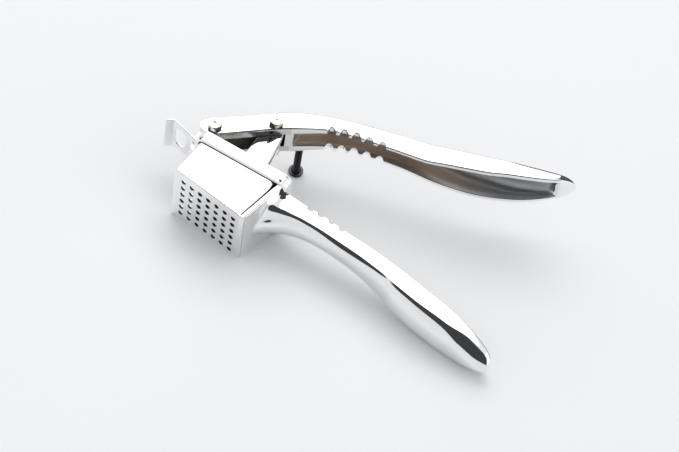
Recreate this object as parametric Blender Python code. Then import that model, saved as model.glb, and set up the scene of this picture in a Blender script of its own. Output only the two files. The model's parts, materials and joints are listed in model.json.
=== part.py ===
"""A hinged garlic press with a lift-out sieve, modelled as separate pieces.

The numbers are millimetres in the sieve's own frame: the origin is the middle of the
perforated face, X runs along its long side from the hinge to the handle tips, Y points out
of the mouth and Z is the direction of the hinge pins. One empty moves that frame so that the
finished press has its origin under the middle of its box, on the surface it stands on.
"""

import math

import bmesh
import bpy
from mathutils import Matrix, Vector

MM = 0.001

# Clearances
GAP = 0.3
BORE_CLEARANCE = 0.3

# Where the origin of the finished press lies in the sieve's frame
ORIGIN = (55.7, 72.6, -34.4)

# Hinge geometry
HINGE = (-29.2, 39.8)
PLUNGER_PIN = (-7.1, 63.5)
CLOSED_ANGLE = math.radians(-32.0)
PLUNGER_SHARE = 0.5

# Perforated sieve
HOLE_COLUMNS = 7
HOLE_ROWS = 6
HOLE_PITCH = 5.4
HOLE_RADIUS = 1.3
SIEVE_FLOOR = 1.1
SIEVE_WALL = 1.0
SIEVE_FOOT_RIGHT = 22.7
SIEVE_HALF = 19.7
SIEVE_SIDE_DRAFT = 0.018

# Tab of the sieve: it leaves the rim at the hinge end and ends in a bent lip
TAB_START = (-24.6, 27.55)
TAB_END = (-46.5, 28.3)
TAB_THICKNESS = 1.0
TAB_ARM_LENGTH = 11.2
TAB_ARM_HALF = 8.6
TAB_NECK_HALF = 10.0
TAB_END_HALF = 11.2
LIP_LENGTH = 4.4
FINGER_HOLE = (13.0, 20.2, 6.2)
FINGER_HOLE_CORNER = 2.8

# Collar round the mouth, in a plane that rises towards the handles
COLLAR_TILT = math.radians(7.75)
COLLAR_BASE_Y = 24.6
COLLAR_HEIGHT = 5.6
COLLAR_LEFT = -27.6
COLLAR_RIGHT = 27.4
COLLAR_HALF = 22.0
COLLAR_CORNER = 5.5
FLANGE_THICKNESS = 1.0
OPENING_LEFT = -25.3
OPENING_RIGHT = 22.1
OPENING_HALF = 20.6
OPENING_CORNER = 3.2
CORNER_RELIEFS = ((21.9, 29.2), (-24.4, 22.6))
CORNER_RELIEF_RADIUS = 0.9

# End wall that hangs from the collar beside the sieve: x at the floor and its draft
WALL_INNER = (19.75, 0.06)
WALL_OUTER = (22.6, 0.07)
WALL_TOP_Y = 30.0
WALL_HALF_LOW = 19.5
WALL_HALF_HIGH = 20.3

# Plunger as it stands in the closed press
PLATE_CENTRE_X = -2.5
PLATE_FLOOR_Y = 2.0
PLATE_HALF_LENGTH = 17.6
PLATE_HALF_WIDTH = 17.9
PLATE_THICKNESS = 3.5
BOSS_RADIUS = 5.2
LUG_RADIUS = 5.8

# Levers
LEVER_HALF = 10.0
HEAD_SLOT_HALF = 5.3
NOTCH_RADIUS = 2.6

# M4 hardware
SHANK_RADIUS = 2.0
HEX_RADIUS = 4.04
HEX_HEIGHT = 2.7
WASHER_RADIUS = 4.6
WASHER_THICKNESS = 0.8
NUT_HEIGHT = 3.2

# Side screw in the far cheek of the press lever
SCREW_AXIS = (3.4, 73.2)
SCREW_BEARING_Z = -32.0
SCREW_LENGTH = 25.0
SCREW_HEAD_RADIUS = 4.0
SCREW_HEAD_HEIGHT = 2.4

# Each station of the cup handle: x, inner edge y, spine y, half width
CUP_HANDLE_STATIONS = (
    (23.6, 31.6, 9.0, 13.0),
    (27.0, 33.0, 13.4, 11.2),
    (31.0, 33.9, 17.0, 10.2),
    (37.0, 34.8, 21.0, 9.0),
    (46.0, 36.5, 23.9, 7.8),
    (60.0, 37.4, 26.0, 7.0),
    (76.0, 38.0, 26.4, 7.6),
    (90.0, 37.0, 25.2, 9.4),
    (101.0, 35.9, 22.4, 10.8),
    (113.0, 34.8, 20.6, 11.6),
    (128.0, 33.9, 19.9, 11.8),
    (140.0, 32.4, 20.0, 10.8),
    (149.0, 31.2, 20.0, 9.0),
    (156.0, 29.4, 20.6, 6.6),
    (160.0, 27.4, 21.9, 3.8),
    (161.3, 25.6, 23.4, 1.6),
)
CUP_CHANNEL_STATIONS = (
    (34.0, 11.0, 6.4),
    (46.0, 9.4, 5.6),
    (60.0, 8.4, 5.0),
    (76.0, 8.6, 5.4),
    (90.0, 9.0, 6.8),
    (101.0, 10.0, 8.0),
    (113.0, 10.4, 8.6),
    (128.0, 10.4, 8.6),
    (140.0, 8.8, 7.6),
    (148.0, 7.6, 6.0),
)
CUP_NOTCHES_X = (39.2, 45.4, 51.7, 58.0)

# Each station of the press lever: front edge x, y, spine x, y, half width
PRESS_STATIONS = (
    (-34.2, 34.8, -35.6, 36.2, LEVER_HALF),
    (-31.4, 33.6, -37.6, 39.6, LEVER_HALF),
    (-28.0, 34.0, -37.4, 43.0, LEVER_HALF),
    (-25.0, 36.4, -36.2, 46.8, LEVER_HALF),
    (-15.6, 47.2, -26.2, 57.4, LEVER_HALF),
    (-4.2, 60.4, -14.6, 70.4, LEVER_HALF),
    (3.5, 68.1, -5.6, 79.2, LEVER_HALF),
    (14.6, 78.6, 7.2, 88.3, 8.8),
    (26.3, 85.4, 20.9, 96.2, 8.0),
    (39.4, 91.0, 34.5, 103.6, 7.0),
    (52.9, 95.7, 47.6, 109.8, 7.2),
    (64.0, 99.0, 58.3, 113.6, 8.1),
    (72.3, 102.3, 66.1, 116.4, 9.8),
    (85.2, 108.3, 78.8, 121.1, 11.4),
    (94.4, 113.4, 87.7, 125.1, 11.8),
    (102.0, 118.7, 95.8, 128.6, 12.1),
    (109.6, 124.2, 104.0, 132.6, 11.5),
    (117.2, 130.7, 112.4, 137.4, 10.1),
    (123.6, 137.4, 120.3, 141.9, 7.7),
    (128.0, 142.4, 126.6, 144.8, 4.0),
    (129.8, 144.6, 129.6, 145.2, 1.2),
)
PRESS_CHANNEL_STATIONS = (
    (2.2, 67.0, 8.0, 5.4),
    (14.6, 78.6, 9.2, 5.5),
    (26.3, 85.4, 9.4, 5.4),
    (39.4, 91.0, 10.6, 5.2),
    (52.9, 95.7, 12.0, 5.5),
    (64.0, 99.0, 12.6, 6.3),
    (72.3, 102.3, 12.4, 7.4),
    (85.2, 108.3, 11.4, 8.4),
    (94.4, 113.4, 10.6, 8.7),
    (102.0, 118.7, 9.0, 8.6),
    (109.6, 124.2, 7.4, 7.8),
    (118.6, 132.2, 4.0, 5.2),
)
HEAD_SLOT_STATIONS = (
    (-38.0, 28.0, 16.0, HEAD_SLOT_HALF),
    (-25.0, 36.4, 12.8, HEAD_SLOT_HALF),
    (-15.6, 47.2, 12.2, HEAD_SLOT_HALF),
    (-4.2, 60.4, 11.8, HEAD_SLOT_HALF),
    (0.1, 64.9, 10.8, HEAD_SLOT_HALF),
)
PRESS_NOTCHES = ((16.8, 80.7), (22.4, 84.1), (28.2, 87.5), (34.5, 90.7), (41.4, 93.7))

SECTION_STEPS = 8


# ---------------------------------------------------------------- scene set-up
def clear_scene():
    """Remove every object of the open scene."""
    for obj in list(bpy.data.objects):
        bpy.data.objects.remove(obj, do_unlink=True)


def new_collection(name):
    """Return a new collection linked to the scene."""
    collection = bpy.data.collections.new(name)
    bpy.context.scene.collection.children.link(collection)
    return collection


def new_material(name, colour, roughness, metallic=1.0):
    """Return a Principled material of one plain colour."""
    material = bpy.data.materials.new(name)
    material.use_nodes = True
    shader = material.node_tree.nodes["Principled BSDF"]
    shader.inputs["Base Color"].default_value = (*colour, 1.0)
    shader.inputs["Roughness"].default_value = roughness
    shader.inputs["Metallic"].default_value = metallic
    return material


def new_empty(name, location, parent=None):
    """Return an empty at a place given in millimetres."""
    empty = bpy.data.objects.new(name, None)
    empty.empty_display_size = 0.01
    empty.location = Vector(location) * MM
    PARTS.objects.link(empty)
    if parent is not None:
        empty.parent = parent
    return empty


class Assembly:
    """A group of pieces that move together, drawn in one frame.

    Args:
        axis: the empty on the group's joint axis.
        offset: the empty's place in the group's drawing frame, in millimetres.
    """

    def __init__(self, axis, offset):
        self.axis = axis
        self.offset = Vector(offset) * MM

    def adopt(self, obj):
        """Parent an object drawn in the group's frame to the joint's empty."""
        obj.parent = self.axis
        obj.matrix_parent_inverse = Matrix.Translation(-self.offset)
        return obj


# ---------------------------------------------------------------- mesh makers
def object_from(name, mesh, group, material=None):
    """Wrap a mesh in an object; without a material it is a construction solid."""
    obj = bpy.data.objects.new(name, mesh)
    if material is None:
        CUTTERS.objects.link(obj)
        obj.hide_render = True
        obj.display_type = "WIRE"
    else:
        PARTS.objects.link(obj)
        mesh.materials.clear()
        mesh.materials.append(material)
    return group.adopt(obj)


def loft(name, rings, group, material=None):
    """Skin a row of equal-length rings and cap both ends."""
    shape = bmesh.new()
    loops = [[shape.verts.new(Vector(point) * MM) for point in ring] for ring in rings]
    for first, second in zip(loops, loops[1:]):
        for index in range(len(first)):
            after = (index + 1) % len(first)
            shape.faces.new((first[index], first[after], second[after], second[index]))
    shape.faces.new(reversed(loops[0]))
    shape.faces.new(loops[-1])
    bmesh.ops.recalc_face_normals(shape, faces=shape.faces)
    mesh = bpy.data.meshes.new(name)
    shape.to_mesh(mesh)
    shape.free()
    return object_from(name, mesh, group, material)


def slab(name, outlines, thickness, placement, group, material=None):
    """Extrude flat closed outlines by half a thickness each way and place the solid."""
    curve = bpy.data.curves.new(name, "CURVE")
    curve.dimensions = "2D"
    curve.fill_mode = "BOTH"
    curve.extrude = thickness / 2 * MM
    for outline in outlines:
        spline = curve.splines.new("POLY")
        spline.points.add(len(outline) - 1)
        for point, (x, y) in zip(spline.points, outline):
            point.co = (x * MM, y * MM, 0.0, 1.0)
        spline.use_cyclic_u = True
    holder = bpy.data.objects.new(name + "_outline", curve)
    CUTTERS.objects.link(holder)
    graph = bpy.context.evaluated_depsgraph_get()
    mesh = bpy.data.meshes.new_from_object(holder.evaluated_get(graph))
    bpy.data.objects.remove(holder, do_unlink=True)
    shape = bmesh.new()
    shape.from_mesh(mesh)
    bmesh.ops.remove_doubles(shape, verts=shape.verts, dist=1e-6)
    bmesh.ops.transform(shape, matrix=placement, verts=shape.verts)
    bmesh.ops.recalc_face_normals(shape, faces=shape.faces)
    shape.to_mesh(mesh)
    shape.free()
    return object_from(name, mesh, group, material)


def rods(name, centres, radius, low, high, group, material=None, sides=24, matrix=None):
    """Make cylinders along Z, or along the axis that a matrix turns Z to."""
    shape = bmesh.new()
    for x, y in centres:
        place = Matrix.Translation(Vector((x, y, (low + high) / 2)) * MM)
        bmesh.ops.create_cone(shape, cap_ends=True, segments=sides, radius1=radius * MM,
                              radius2=radius * MM, depth=(high - low) * MM, matrix=place)
    if matrix is not None:
        bmesh.ops.transform(shape, matrix=matrix, verts=shape.verts)
    mesh = bpy.data.meshes.new(name)
    shape.to_mesh(mesh)
    shape.free()
    return object_from(name, mesh, group, material)


def boolean(obj, other, operation):
    """Add a Boolean modifier with the exact solver."""
    modifier = obj.modifiers.new(other.name, "BOOLEAN")
    modifier.operation = operation
    modifier.object = other
    modifier.solver = "EXACT"
    return obj


def smooth(obj, angle=35.0):
    """Shade a piece smooth, except across sharp edges."""
    obj.data.shade_smooth()
    obj.data.set_sharp_from_angle(angle=math.radians(angle))


# ---------------------------------------------------------------- outlines
def arc(centre, radius, start, end, steps):
    """Return points on an arc, with angles in degrees."""
    points = []
    for index in range(steps + 1):
        angle = math.radians(start + (end - start) * index / steps)
        points.append((centre[0] + radius * math.cos(angle), centre[1] + radius * math.sin(angle)))
    return points


def rounded_rectangle(left, right, bottom, top, radius, steps=4):
    """Return a rectangle with round corners, anticlockwise."""
    corners = ((right - radius, top - radius, 0.0), (left + radius, top - radius, 90.0),
               (left + radius, bottom + radius, 180.0), (right - radius, bottom + radius, 270.0))
    outline = []
    for x, y, start in corners:
        outline += arc((x, y), radius, start, start + 90.0, steps)
    return outline


def frame_matrix(origin, along, up):
    """Return the matrix that lays a flat drawing on the plane of two directions."""
    along = Vector(along).normalized()
    up = Vector(up).normalized()
    normal = along.cross(up)
    matrix = Matrix((along, up, normal)).transposed().to_4x4()
    matrix.translation = Vector(origin) * MM
    return matrix


def handle_section(front, spine, half_width, round_share):
    """Return one ring of a handle: flat sides, an elliptical spine and a flat inner edge.

    Args:
        front: the inner edge's point in the XY plane.
        spine: the spine's point in the XY plane.
        half_width: half the section's size along Z.
        round_share: the part of the depth that the elliptical spine takes.
    """
    front = Vector(front)
    spine = Vector(spine)
    shoulder = front.lerp(spine, 1.0 - round_share)
    ring = [(*front, half_width), (*shoulder, half_width)]
    for index in range(1, SECTION_STEPS):
        angle = math.pi * index / SECTION_STEPS
        point = shoulder.lerp(spine, math.sin(angle))
        ring.append((*point, half_width * math.cos(angle)))
    ring += [(*shoulder, -half_width), (*front, -half_width)]
    return ring


def channel_section(front, towards, depth, half_width):
    """Return one ring of a channel cutter that is open past the inner edge."""
    front = Vector(front)
    inward = Vector(towards).normalized()
    mouth = front - inward * 4.0
    floor = front + inward * depth
    bend = front + inward * (depth - 1.2)
    side = half_width - 1.2
    return [(*mouth, half_width), (*bend, half_width), (*floor, side),
            (*floor, -side), (*bend, -half_width), (*mouth, -half_width)]


def on_collar(u, rise):
    """Return the XY point at a distance along the collar and a height above its base."""
    along = Vector((math.cos(COLLAR_TILT), math.sin(COLLAR_TILT)))
    out = Vector((-math.sin(COLLAR_TILT), math.cos(COLLAR_TILT)))
    return Vector((0.0, COLLAR_BASE_Y)) + along * u + out * rise


def collar_plane(rise):
    """Return the matrix of the plane at a height above the collar's base."""
    return frame_matrix((*on_collar(0.0, rise), 0.0), (*on_collar(1.0, 0.0) - on_collar(0.0, 0.0), 0.0),
                        (0.0, 0.0, 1.0))


# ---------------------------------------------------------------- sieve insert
def sieve_wall_x(y, inset):
    """Return the left and right face of the drafted sieve at a height, moved inwards."""
    left = -22.4 - 0.086 * y + inset
    right = 19.4 + 0.038 * y - inset
    return left, right


def sieve_ring(points_y, inset, corner):
    """Return a rounded ring of the sieve on a plane that may rise along X."""
    base_y, slope = points_y
    left, right = sieve_wall_x(base_y, inset)
    half = SIEVE_HALF + SIEVE_SIDE_DRAFT * base_y - inset
    ring = []
    for x, z in rounded_rectangle(left, right, -half, half, corner):
        ring.append((x, base_y + slope * x, z))
    return ring


def make_sieve(group, material):
    """Make the sheet-metal sieve: drafted box, 42 holes, rim flange, tab and finger lip."""
    rim_rise = COLLAR_HEIGHT + GAP
    slope = math.tan(COLLAR_TILT)
    rim_y = COLLAR_BASE_Y + (rim_rise + FLANGE_THICKNESS / 2) / math.cos(COLLAR_TILT)
    sieve = loft("sieve_insert", (sieve_ring((0.0, 0.0), 0.0, 1.4), sieve_ring((rim_y, slope), 0.0, 3.0)),
                 group, material)

    foot = slab("sieve_foot", [rounded_rectangle(10.0, SIEVE_FOOT_RIGHT, -SIEVE_HALF, SIEVE_HALF, 1.4)],
                SIEVE_FLOOR,
                frame_matrix((0.0, SIEVE_FLOOR / 2, 0.0), (1, 0, 0), (0, 0, 1)), group)
    boolean(sieve, foot, "UNION")

    flange = slab("sieve_flange", [rounded_rectangle(COLLAR_LEFT, COLLAR_RIGHT, -COLLAR_HALF, COLLAR_HALF,
                                                     COLLAR_CORNER)], FLANGE_THICKNESS,
                  collar_plane(rim_rise + FLANGE_THICKNESS / 2), group)
    boolean(sieve, flange, "UNION")

    tab_start = Vector(TAB_START)
    tab_end = Vector(TAB_END)
    tab_length = (tab_end - tab_start).length
    tab_outline = [(0.0, -TAB_ARM_HALF), (TAB_ARM_LENGTH, -TAB_ARM_HALF), (TAB_ARM_LENGTH, -TAB_NECK_HALF),
                   (tab_length, -TAB_END_HALF), (tab_length, TAB_END_HALF), (TAB_ARM_LENGTH, TAB_NECK_HALF),
                   (TAB_ARM_LENGTH, TAB_ARM_HALF), (0.0, TAB_ARM_HALF)]
    tab_plane = frame_matrix((*tab_start, 0.0), (*tab_end - tab_start, 0.0), (0, 0, 1))
    tab = slab("sieve_tab", [tab_outline], TAB_THICKNESS, tab_plane, group)
    boolean(sieve, tab, "UNION")
    lip_outline = rounded_rectangle(-0.6, LIP_LENGTH, -TAB_END_HALF, TAB_END_HALF, 0.4, 2)
    lip = slab("sieve_lip", [lip_outline], TAB_THICKNESS,
               frame_matrix((TAB_END[0] + 0.2, TAB_END[1], 0.0), (-0.72, -0.70, 0), (0, 0, 1)), group)
    boolean(sieve, lip, "UNION")

    inside = loft("sieve_inside", (sieve_ring((SIEVE_FLOOR, 0.0), SIEVE_WALL, 1.0),
                                   sieve_ring((rim_y + 3.0, slope), SIEVE_WALL, 2.0)), group)
    boolean(sieve, inside, "DIFFERENCE")
    lug_slot = slab("sieve_lug_slot", [rounded_rectangle(1.9, 10.6, -HEAD_SLOT_HALF, HEAD_SLOT_HALF, 0.6, 2)],
                    6.0, tab_plane, group)
    boolean(sieve, lug_slot, "DIFFERENCE")
    near, far, half = FINGER_HOLE
    finger_outline = rounded_rectangle(near, far, -half, half, FINGER_HOLE_CORNER)
    finger_hole = slab("sieve_finger_hole", [finger_outline], 6.0, tab_plane, group)
    boolean(sieve, finger_hole, "DIFFERENCE")

    centres = []
    for column in range(HOLE_COLUMNS):
        for row in range(HOLE_ROWS):
            x = (column - (HOLE_COLUMNS - 1) / 2) * HOLE_PITCH
            z = (row - (HOLE_ROWS - 1) / 2) * HOLE_PITCH
            centres.append((x, z))
    to_face = Matrix.Rotation(math.radians(90.0), 4, "X")
    holes = rods("sieve_holes", centres, HOLE_RADIUS, -4.0, 4.0, group, sides=12, matrix=to_face)
    boolean(sieve, holes, "DIFFERENCE")
    smooth(sieve)
    return sieve


# ---------------------------------------------------------------- cup lever
def make_cup_lever(group, material):
    """Make the lower casting: collar, end wall, hinge lug and channelled handle."""
    rings = []
    for x, inner_y, spine_y, half in CUP_HANDLE_STATIONS:
        rings.append(handle_section((x, inner_y), (x, spine_y), half, 0.5))
    lever = loft("cup_lever", rings, group, material)

    opening = rounded_rectangle(OPENING_LEFT, OPENING_RIGHT, -OPENING_HALF, OPENING_HALF, OPENING_CORNER)
    outside = rounded_rectangle(COLLAR_LEFT, COLLAR_RIGHT, -COLLAR_HALF, COLLAR_HALF, COLLAR_CORNER)
    collar = slab("collar", [outside, opening], COLLAR_HEIGHT, collar_plane(COLLAR_HEIGHT / 2), group)
    boolean(lever, collar, "UNION")

    wall_rings = []
    wall_bottom = SIEVE_FLOOR + GAP
    levels = ((wall_bottom, WALL_HALF_LOW, 0.0), (WALL_TOP_Y, WALL_HALF_HIGH, math.tan(COLLAR_TILT)))
    for y, half, slope in levels:
        inner_x = WALL_INNER[0] + WALL_INNER[1] * y
        outer_x = WALL_OUTER[0] + WALL_OUTER[1] * y
        outline = rounded_rectangle(inner_x, outer_x, -half, half, 0.6, 2)
        wall_rings.append([(x, y + (x - inner_x) * slope, z) for x, z in outline])
    end_wall = loft("end_wall", wall_rings, group)
    boolean(lever, end_wall, "UNION")

    lug_outline = [(-26.9, 21.4), (-26.9, 29.4), (-24.6, 34.4)]
    lug_outline += arc(HINGE, LUG_RADIUS, -35.0, 180.0, 14)
    lug_outline += [(-34.6, 31.0), (-32.2, 24.4)]
    lug = slab("hinge_lug", [lug_outline], 2 * (HEAD_SLOT_HALF - GAP), Matrix.Identity(4), group)
    boolean(lever, lug, "UNION")

    channel_rings = []
    for x, depth, half in CUP_CHANNEL_STATIONS:
        inner_y = inner_edge_y(x)
        channel_rings.append(channel_section((x, inner_y), (0.0, -1.0), depth, half))
    boolean(lever, loft("cup_channel", channel_rings, group), "DIFFERENCE")

    notches = [(x, inner_edge_y(x) + 0.2) for x in CUP_NOTCHES_X]
    boolean(lever, rods("cup_notches", notches, NOTCH_RADIUS, -14.0, 14.0, group, sides=20), "DIFFERENCE")
    bore = rods("hinge_bore", [HINGE], SHANK_RADIUS + BORE_CLEARANCE, -8.0, 8.0, group)
    boolean(lever, bore, "DIFFERENCE")
    for name, middle in (("corner_relief_low", -21.0), ("corner_relief_high", 21.0)):
        relief = rods(name, CORNER_RELIEFS, CORNER_RELIEF_RADIUS, middle - 3.0, middle + 3.0, group, sides=12)
        boolean(lever, relief, "DIFFERENCE")
    smooth(lever)
    return lever


def inner_edge_y(x):
    """Return the height of the cup handle's inner edge at a distance along it."""
    for first, second in zip(CUP_HANDLE_STATIONS, CUP_HANDLE_STATIONS[1:]):
        if first[0] <= x <= second[0]:
            share = (x - first[0]) / (second[0] - first[0])
            return first[1] + (second[1] - first[1]) * share
    return CUP_HANDLE_STATIONS[-1][1]


# ---------------------------------------------------------------- press lever
def channel_rings(stations, directions):
    """Return the rings of a cutter that follows the press lever's inner edge."""
    rings = []
    for (x, y, depth, half), towards in zip(stations, directions):
        rings.append(channel_section((x, y), towards, depth, half))
    return rings


def inward_direction(x, y):
    """Return the direction from the press lever's inner edge to its spine near a point."""
    nearest = min(PRESS_STATIONS, key=lambda station: math.hypot(station[0] - x, station[1] - y))
    return nearest[2] - nearest[0], nearest[3] - nearest[1]


def make_press_lever(group, material):
    """Make the upper casting: a channelled handle with a forked head and ten notches."""
    rings = []
    for front_x, front_y, spine_x, spine_y, half in PRESS_STATIONS:
        rings.append(handle_section((front_x, front_y), (spine_x, spine_y), half, 0.36))
    lever = loft("press_lever", rings, group, material)

    directions = [inward_direction(x, y) for x, y, depth, half in PRESS_CHANNEL_STATIONS]
    body = loft("press_channel", channel_rings(PRESS_CHANNEL_STATIONS, directions), group)
    boolean(lever, body, "DIFFERENCE")
    directions = [(-0.70, 0.71)] * len(HEAD_SLOT_STATIONS)
    slot = loft("head_slot", channel_rings(HEAD_SLOT_STATIONS, directions), group)
    boolean(lever, slot, "DIFFERENCE")

    notches = rods("press_notches", PRESS_NOTCHES, NOTCH_RADIUS, -14.0, 14.0, group, sides=20)
    boolean(lever, notches, "DIFFERENCE")
    bores = rods("press_bores", [HINGE, PLUNGER_PIN], SHANK_RADIUS + BORE_CLEARANCE, -14.0, 14.0, group)
    boolean(lever, bores, "DIFFERENCE")
    screw_bore = rods("screw_bore", [SCREW_AXIS], SHANK_RADIUS + BORE_CLEARANCE, -14.0, -2.0, group)
    boolean(lever, screw_bore, "DIFFERENCE")
    smooth(lever)
    return lever


# ---------------------------------------------------------------- plunger
def make_plunger(group, material):
    """Make the plunger: a pressing plate, a ribbed neck and a boss on its pin.

    It is drawn as it stands when the press is closed, then turned to its place at rest.
    """
    pin = Vector(PLUNGER_PIN)
    hinge = Vector(HINGE)
    closed_pin = hinge + Matrix.Rotation(CLOSED_ANGLE, 2) @ (pin - hinge)
    plate_floor = PLATE_FLOOR_Y - closed_pin.y
    plate_centre = PLATE_CENTRE_X - closed_pin.x
    plate_outline = rounded_rectangle(plate_centre - PLATE_HALF_LENGTH, plate_centre + PLATE_HALF_LENGTH,
                                      -PLATE_HALF_WIDTH, PLATE_HALF_WIDTH, 2.0)
    plate_middle = (0.0, plate_floor + PLATE_THICKNESS / 2, 0.0)
    plate = slab("plunger", [plate_outline], PLATE_THICKNESS,
                 frame_matrix(plate_middle, (1, 0, 0), (0, 0, 1)), group, material)
    neck = [(5.0, -2.0)] + arc((0.0, 0.0), BOSS_RADIUS, -10.0, 190.0, 14)
    neck += [(-6.0, -6.0), (-7.6, -20.0), (-11.5, plate_floor + 5.0), (-14.0, plate_floor + 2.0),
             (6.5, plate_floor + 2.0), (4.8, plate_floor + 5.0)]
    web = slab("plunger_neck", [neck], 2 * (HEAD_SLOT_HALF - GAP), Matrix.Identity(4), group)
    boolean(plate, web, "UNION")
    bore = rods("plunger_bore", [(0.0, 0.0)], SHANK_RADIUS + BORE_CLEARANCE, -8.0, 8.0, group)
    boolean(plate, bore, "DIFFERENCE")
    smooth(plate)
    return plate


# ---------------------------------------------------------------- hardware
def make_bolt(name, axis, group, material):
    """Make an M4 hexagon bolt whose head stands on the near cheek."""
    seat = LEVER_HALF + GAP
    tail = -(LEVER_HALF + WASHER_THICKNESS + 2 * GAP + NUT_HEIGHT + 0.9)
    head = rods(name, [axis], HEX_RADIUS, seat, seat + HEX_HEIGHT, group, material, sides=6)
    shank = rods(name + "_shank", [axis], SHANK_RADIUS, tail, seat + 1.0, group, sides=20)
    return boolean(head, shank, "UNION")


def make_nut(name, axis, group, material):
    """Make the M4 hexagon nut below the far cheek's washer."""
    top = -(LEVER_HALF + WASHER_THICKNESS + 2 * GAP)
    nut = rods(name, [axis], HEX_RADIUS, top - NUT_HEIGHT, top, group, material, sides=6)
    bore = rods(name + "_bore", [axis], SHANK_RADIUS + BORE_CLEARANCE, top - 6.0, top + 2.0, group, sides=20)
    return boolean(nut, bore, "DIFFERENCE")


def make_washer(name, axis, group, material):
    """Make the flat washer below the far cheek."""
    top = -(LEVER_HALF + GAP)
    washer = rods(name, [axis], WASHER_RADIUS, top - WASHER_THICKNESS, top, group, material, sides=28)
    bore = rods(name + "_bore", [axis], SHANK_RADIUS + BORE_CLEARANCE, top - 3.0, top + 2.0, group, sides=20)
    return boolean(washer, bore, "DIFFERENCE")


def make_side_screw(group, material):
    """Make the black pan-head screw that stands out below the far cheek."""
    under = SCREW_BEARING_Z - SCREW_HEAD_HEIGHT
    head = rods("side_screw", [SCREW_AXIS], SCREW_HEAD_RADIUS, under, SCREW_BEARING_Z, group, material,
                sides=28)
    shank = rods("side_screw_shank", [SCREW_AXIS], SHANK_RADIUS, SCREW_BEARING_Z - 1.0,
                 SCREW_BEARING_Z + SCREW_LENGTH, group, sides=20)
    return boolean(head, shank, "UNION")


# ---------------------------------------------------------------- assembly
def build():
    """Build every piece of the press in its place at rest."""
    chrome = new_material("chrome_plate", (0.82, 0.83, 0.85), 0.08)
    steel = new_material("sieve_steel", (0.70, 0.71, 0.73), 0.18)
    nickel = new_material("nickel_hardware", (0.80, 0.74, 0.63), 0.22)
    black = new_material("black_screw", (0.02, 0.02, 0.022), 0.35)

    root = new_empty("press_frame", (-ORIGIN[0], -ORIGIN[1], -ORIGIN[2]))
    hinge_axis = new_empty("hinge_axis", (*HINGE, 0.0), root)
    pin_axis = new_empty("plunger_axis", (*PLUNGER_PIN, 0.0), root)
    pin_axis.parent = hinge_axis
    pin_axis.location = (Vector((*PLUNGER_PIN, 0.0)) - Vector((*HINGE, 0.0))) * MM
    pin_axis.rotation_euler.z = -CLOSED_ANGLE * PLUNGER_SHARE

    fixed = Assembly(root, (0.0, 0.0, 0.0))
    swinging = Assembly(hinge_axis, (*HINGE, 0.0))
    pressing = Assembly(pin_axis, (0.0, 0.0, 0.0))

    make_cup_lever(fixed, chrome)
    make_sieve(fixed, steel)
    make_press_lever(swinging, chrome)
    make_plunger(pressing, chrome)
    for name, axis in (("hinge", HINGE), ("plunger", PLUNGER_PIN)):
        make_bolt(name + "_bolt", axis, swinging, nickel)
        make_washer(name + "_washer", axis, swinging, nickel)
        make_nut(name + "_nut", axis, swinging, nickel)
    make_side_screw(swinging, black)


clear_scene()
PARTS = new_collection("garlic_press")
CUTTERS = new_collection("garlic_press_cutters")
build()
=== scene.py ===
"""Looks for a hinged garlic press: polished castings, a bright steel sieve and M4 hardware.

Every piece is modelled in millimetres in the sieve's frame: the origin is the middle of the
perforated face, X runs along its long side towards the handle tips, Y points out of the
mouth and Z runs along the hinge pins. A finished piece is then set in the row's frame.
"""

import json
import logging
import math
from dataclasses import dataclass, field
from enum import Enum
from typing import ClassVar, Iterable, Sequence

import bmesh
import bpy
from mathutils import Matrix, Vector


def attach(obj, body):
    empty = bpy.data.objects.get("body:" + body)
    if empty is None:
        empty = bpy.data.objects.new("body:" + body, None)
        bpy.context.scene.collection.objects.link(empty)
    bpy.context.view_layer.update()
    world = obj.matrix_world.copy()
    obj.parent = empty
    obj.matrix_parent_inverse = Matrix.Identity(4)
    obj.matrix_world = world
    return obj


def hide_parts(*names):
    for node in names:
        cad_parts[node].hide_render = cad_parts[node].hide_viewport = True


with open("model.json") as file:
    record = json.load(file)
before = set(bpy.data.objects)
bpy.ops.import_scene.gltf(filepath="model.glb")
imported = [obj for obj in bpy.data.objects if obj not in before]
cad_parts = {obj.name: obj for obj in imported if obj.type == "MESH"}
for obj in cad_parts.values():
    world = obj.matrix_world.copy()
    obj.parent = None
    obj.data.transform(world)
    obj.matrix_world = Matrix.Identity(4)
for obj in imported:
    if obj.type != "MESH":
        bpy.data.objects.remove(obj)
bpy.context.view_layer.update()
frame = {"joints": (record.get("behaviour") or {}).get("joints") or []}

LOG = logging.getLogger("garlic_press")

Point = tuple[float, float]
Colour = tuple[float, float, float]
Box = tuple[float, float, float, float]
Ring = list[Vector]

MM = 0.001
HINGE: Point = (-29.2, 39.8)
PLUNGER_PIN: Point = (-7.1, 63.5)
MIDDLE: Point = (0.0, 0.0)
M4_CLEARANCE = 2.3
MERGE_GAP = 0.002
SLIVER = 0.001
SMOOTH_ANGLE = 26.0
BEVEL_SEGMENTS = 2


class Body(Enum):
    """The rigid bodies that pieces ride on."""

    CUP = "cup"
    PRESS = "press"
    PLUNGER = "plunger"


class Slot(Enum):
    """The record's material slots."""

    CHROME = "chrome"
    SIEVE_STEEL = "sieve_steel"
    NICKEL = "nickel"
    BLACK_SCREW = "black_screw"


class Cut(Enum):
    """How one solid acts on another."""

    ADD = "UNION"
    REMOVE = "DIFFERENCE"
    KEEP_COMMON = "INTERSECT"


def row_offset() -> Vector:
    """Return the sieve frame's origin in the row's frame, in metres, from the hinge's place."""
    hinge = next(joint for joint in frame["joints"] if joint["name"] == "press_hinge")
    return Vector(hinge["pos_m"]) - Vector((*HINGE, 0.0)) * MM


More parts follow.
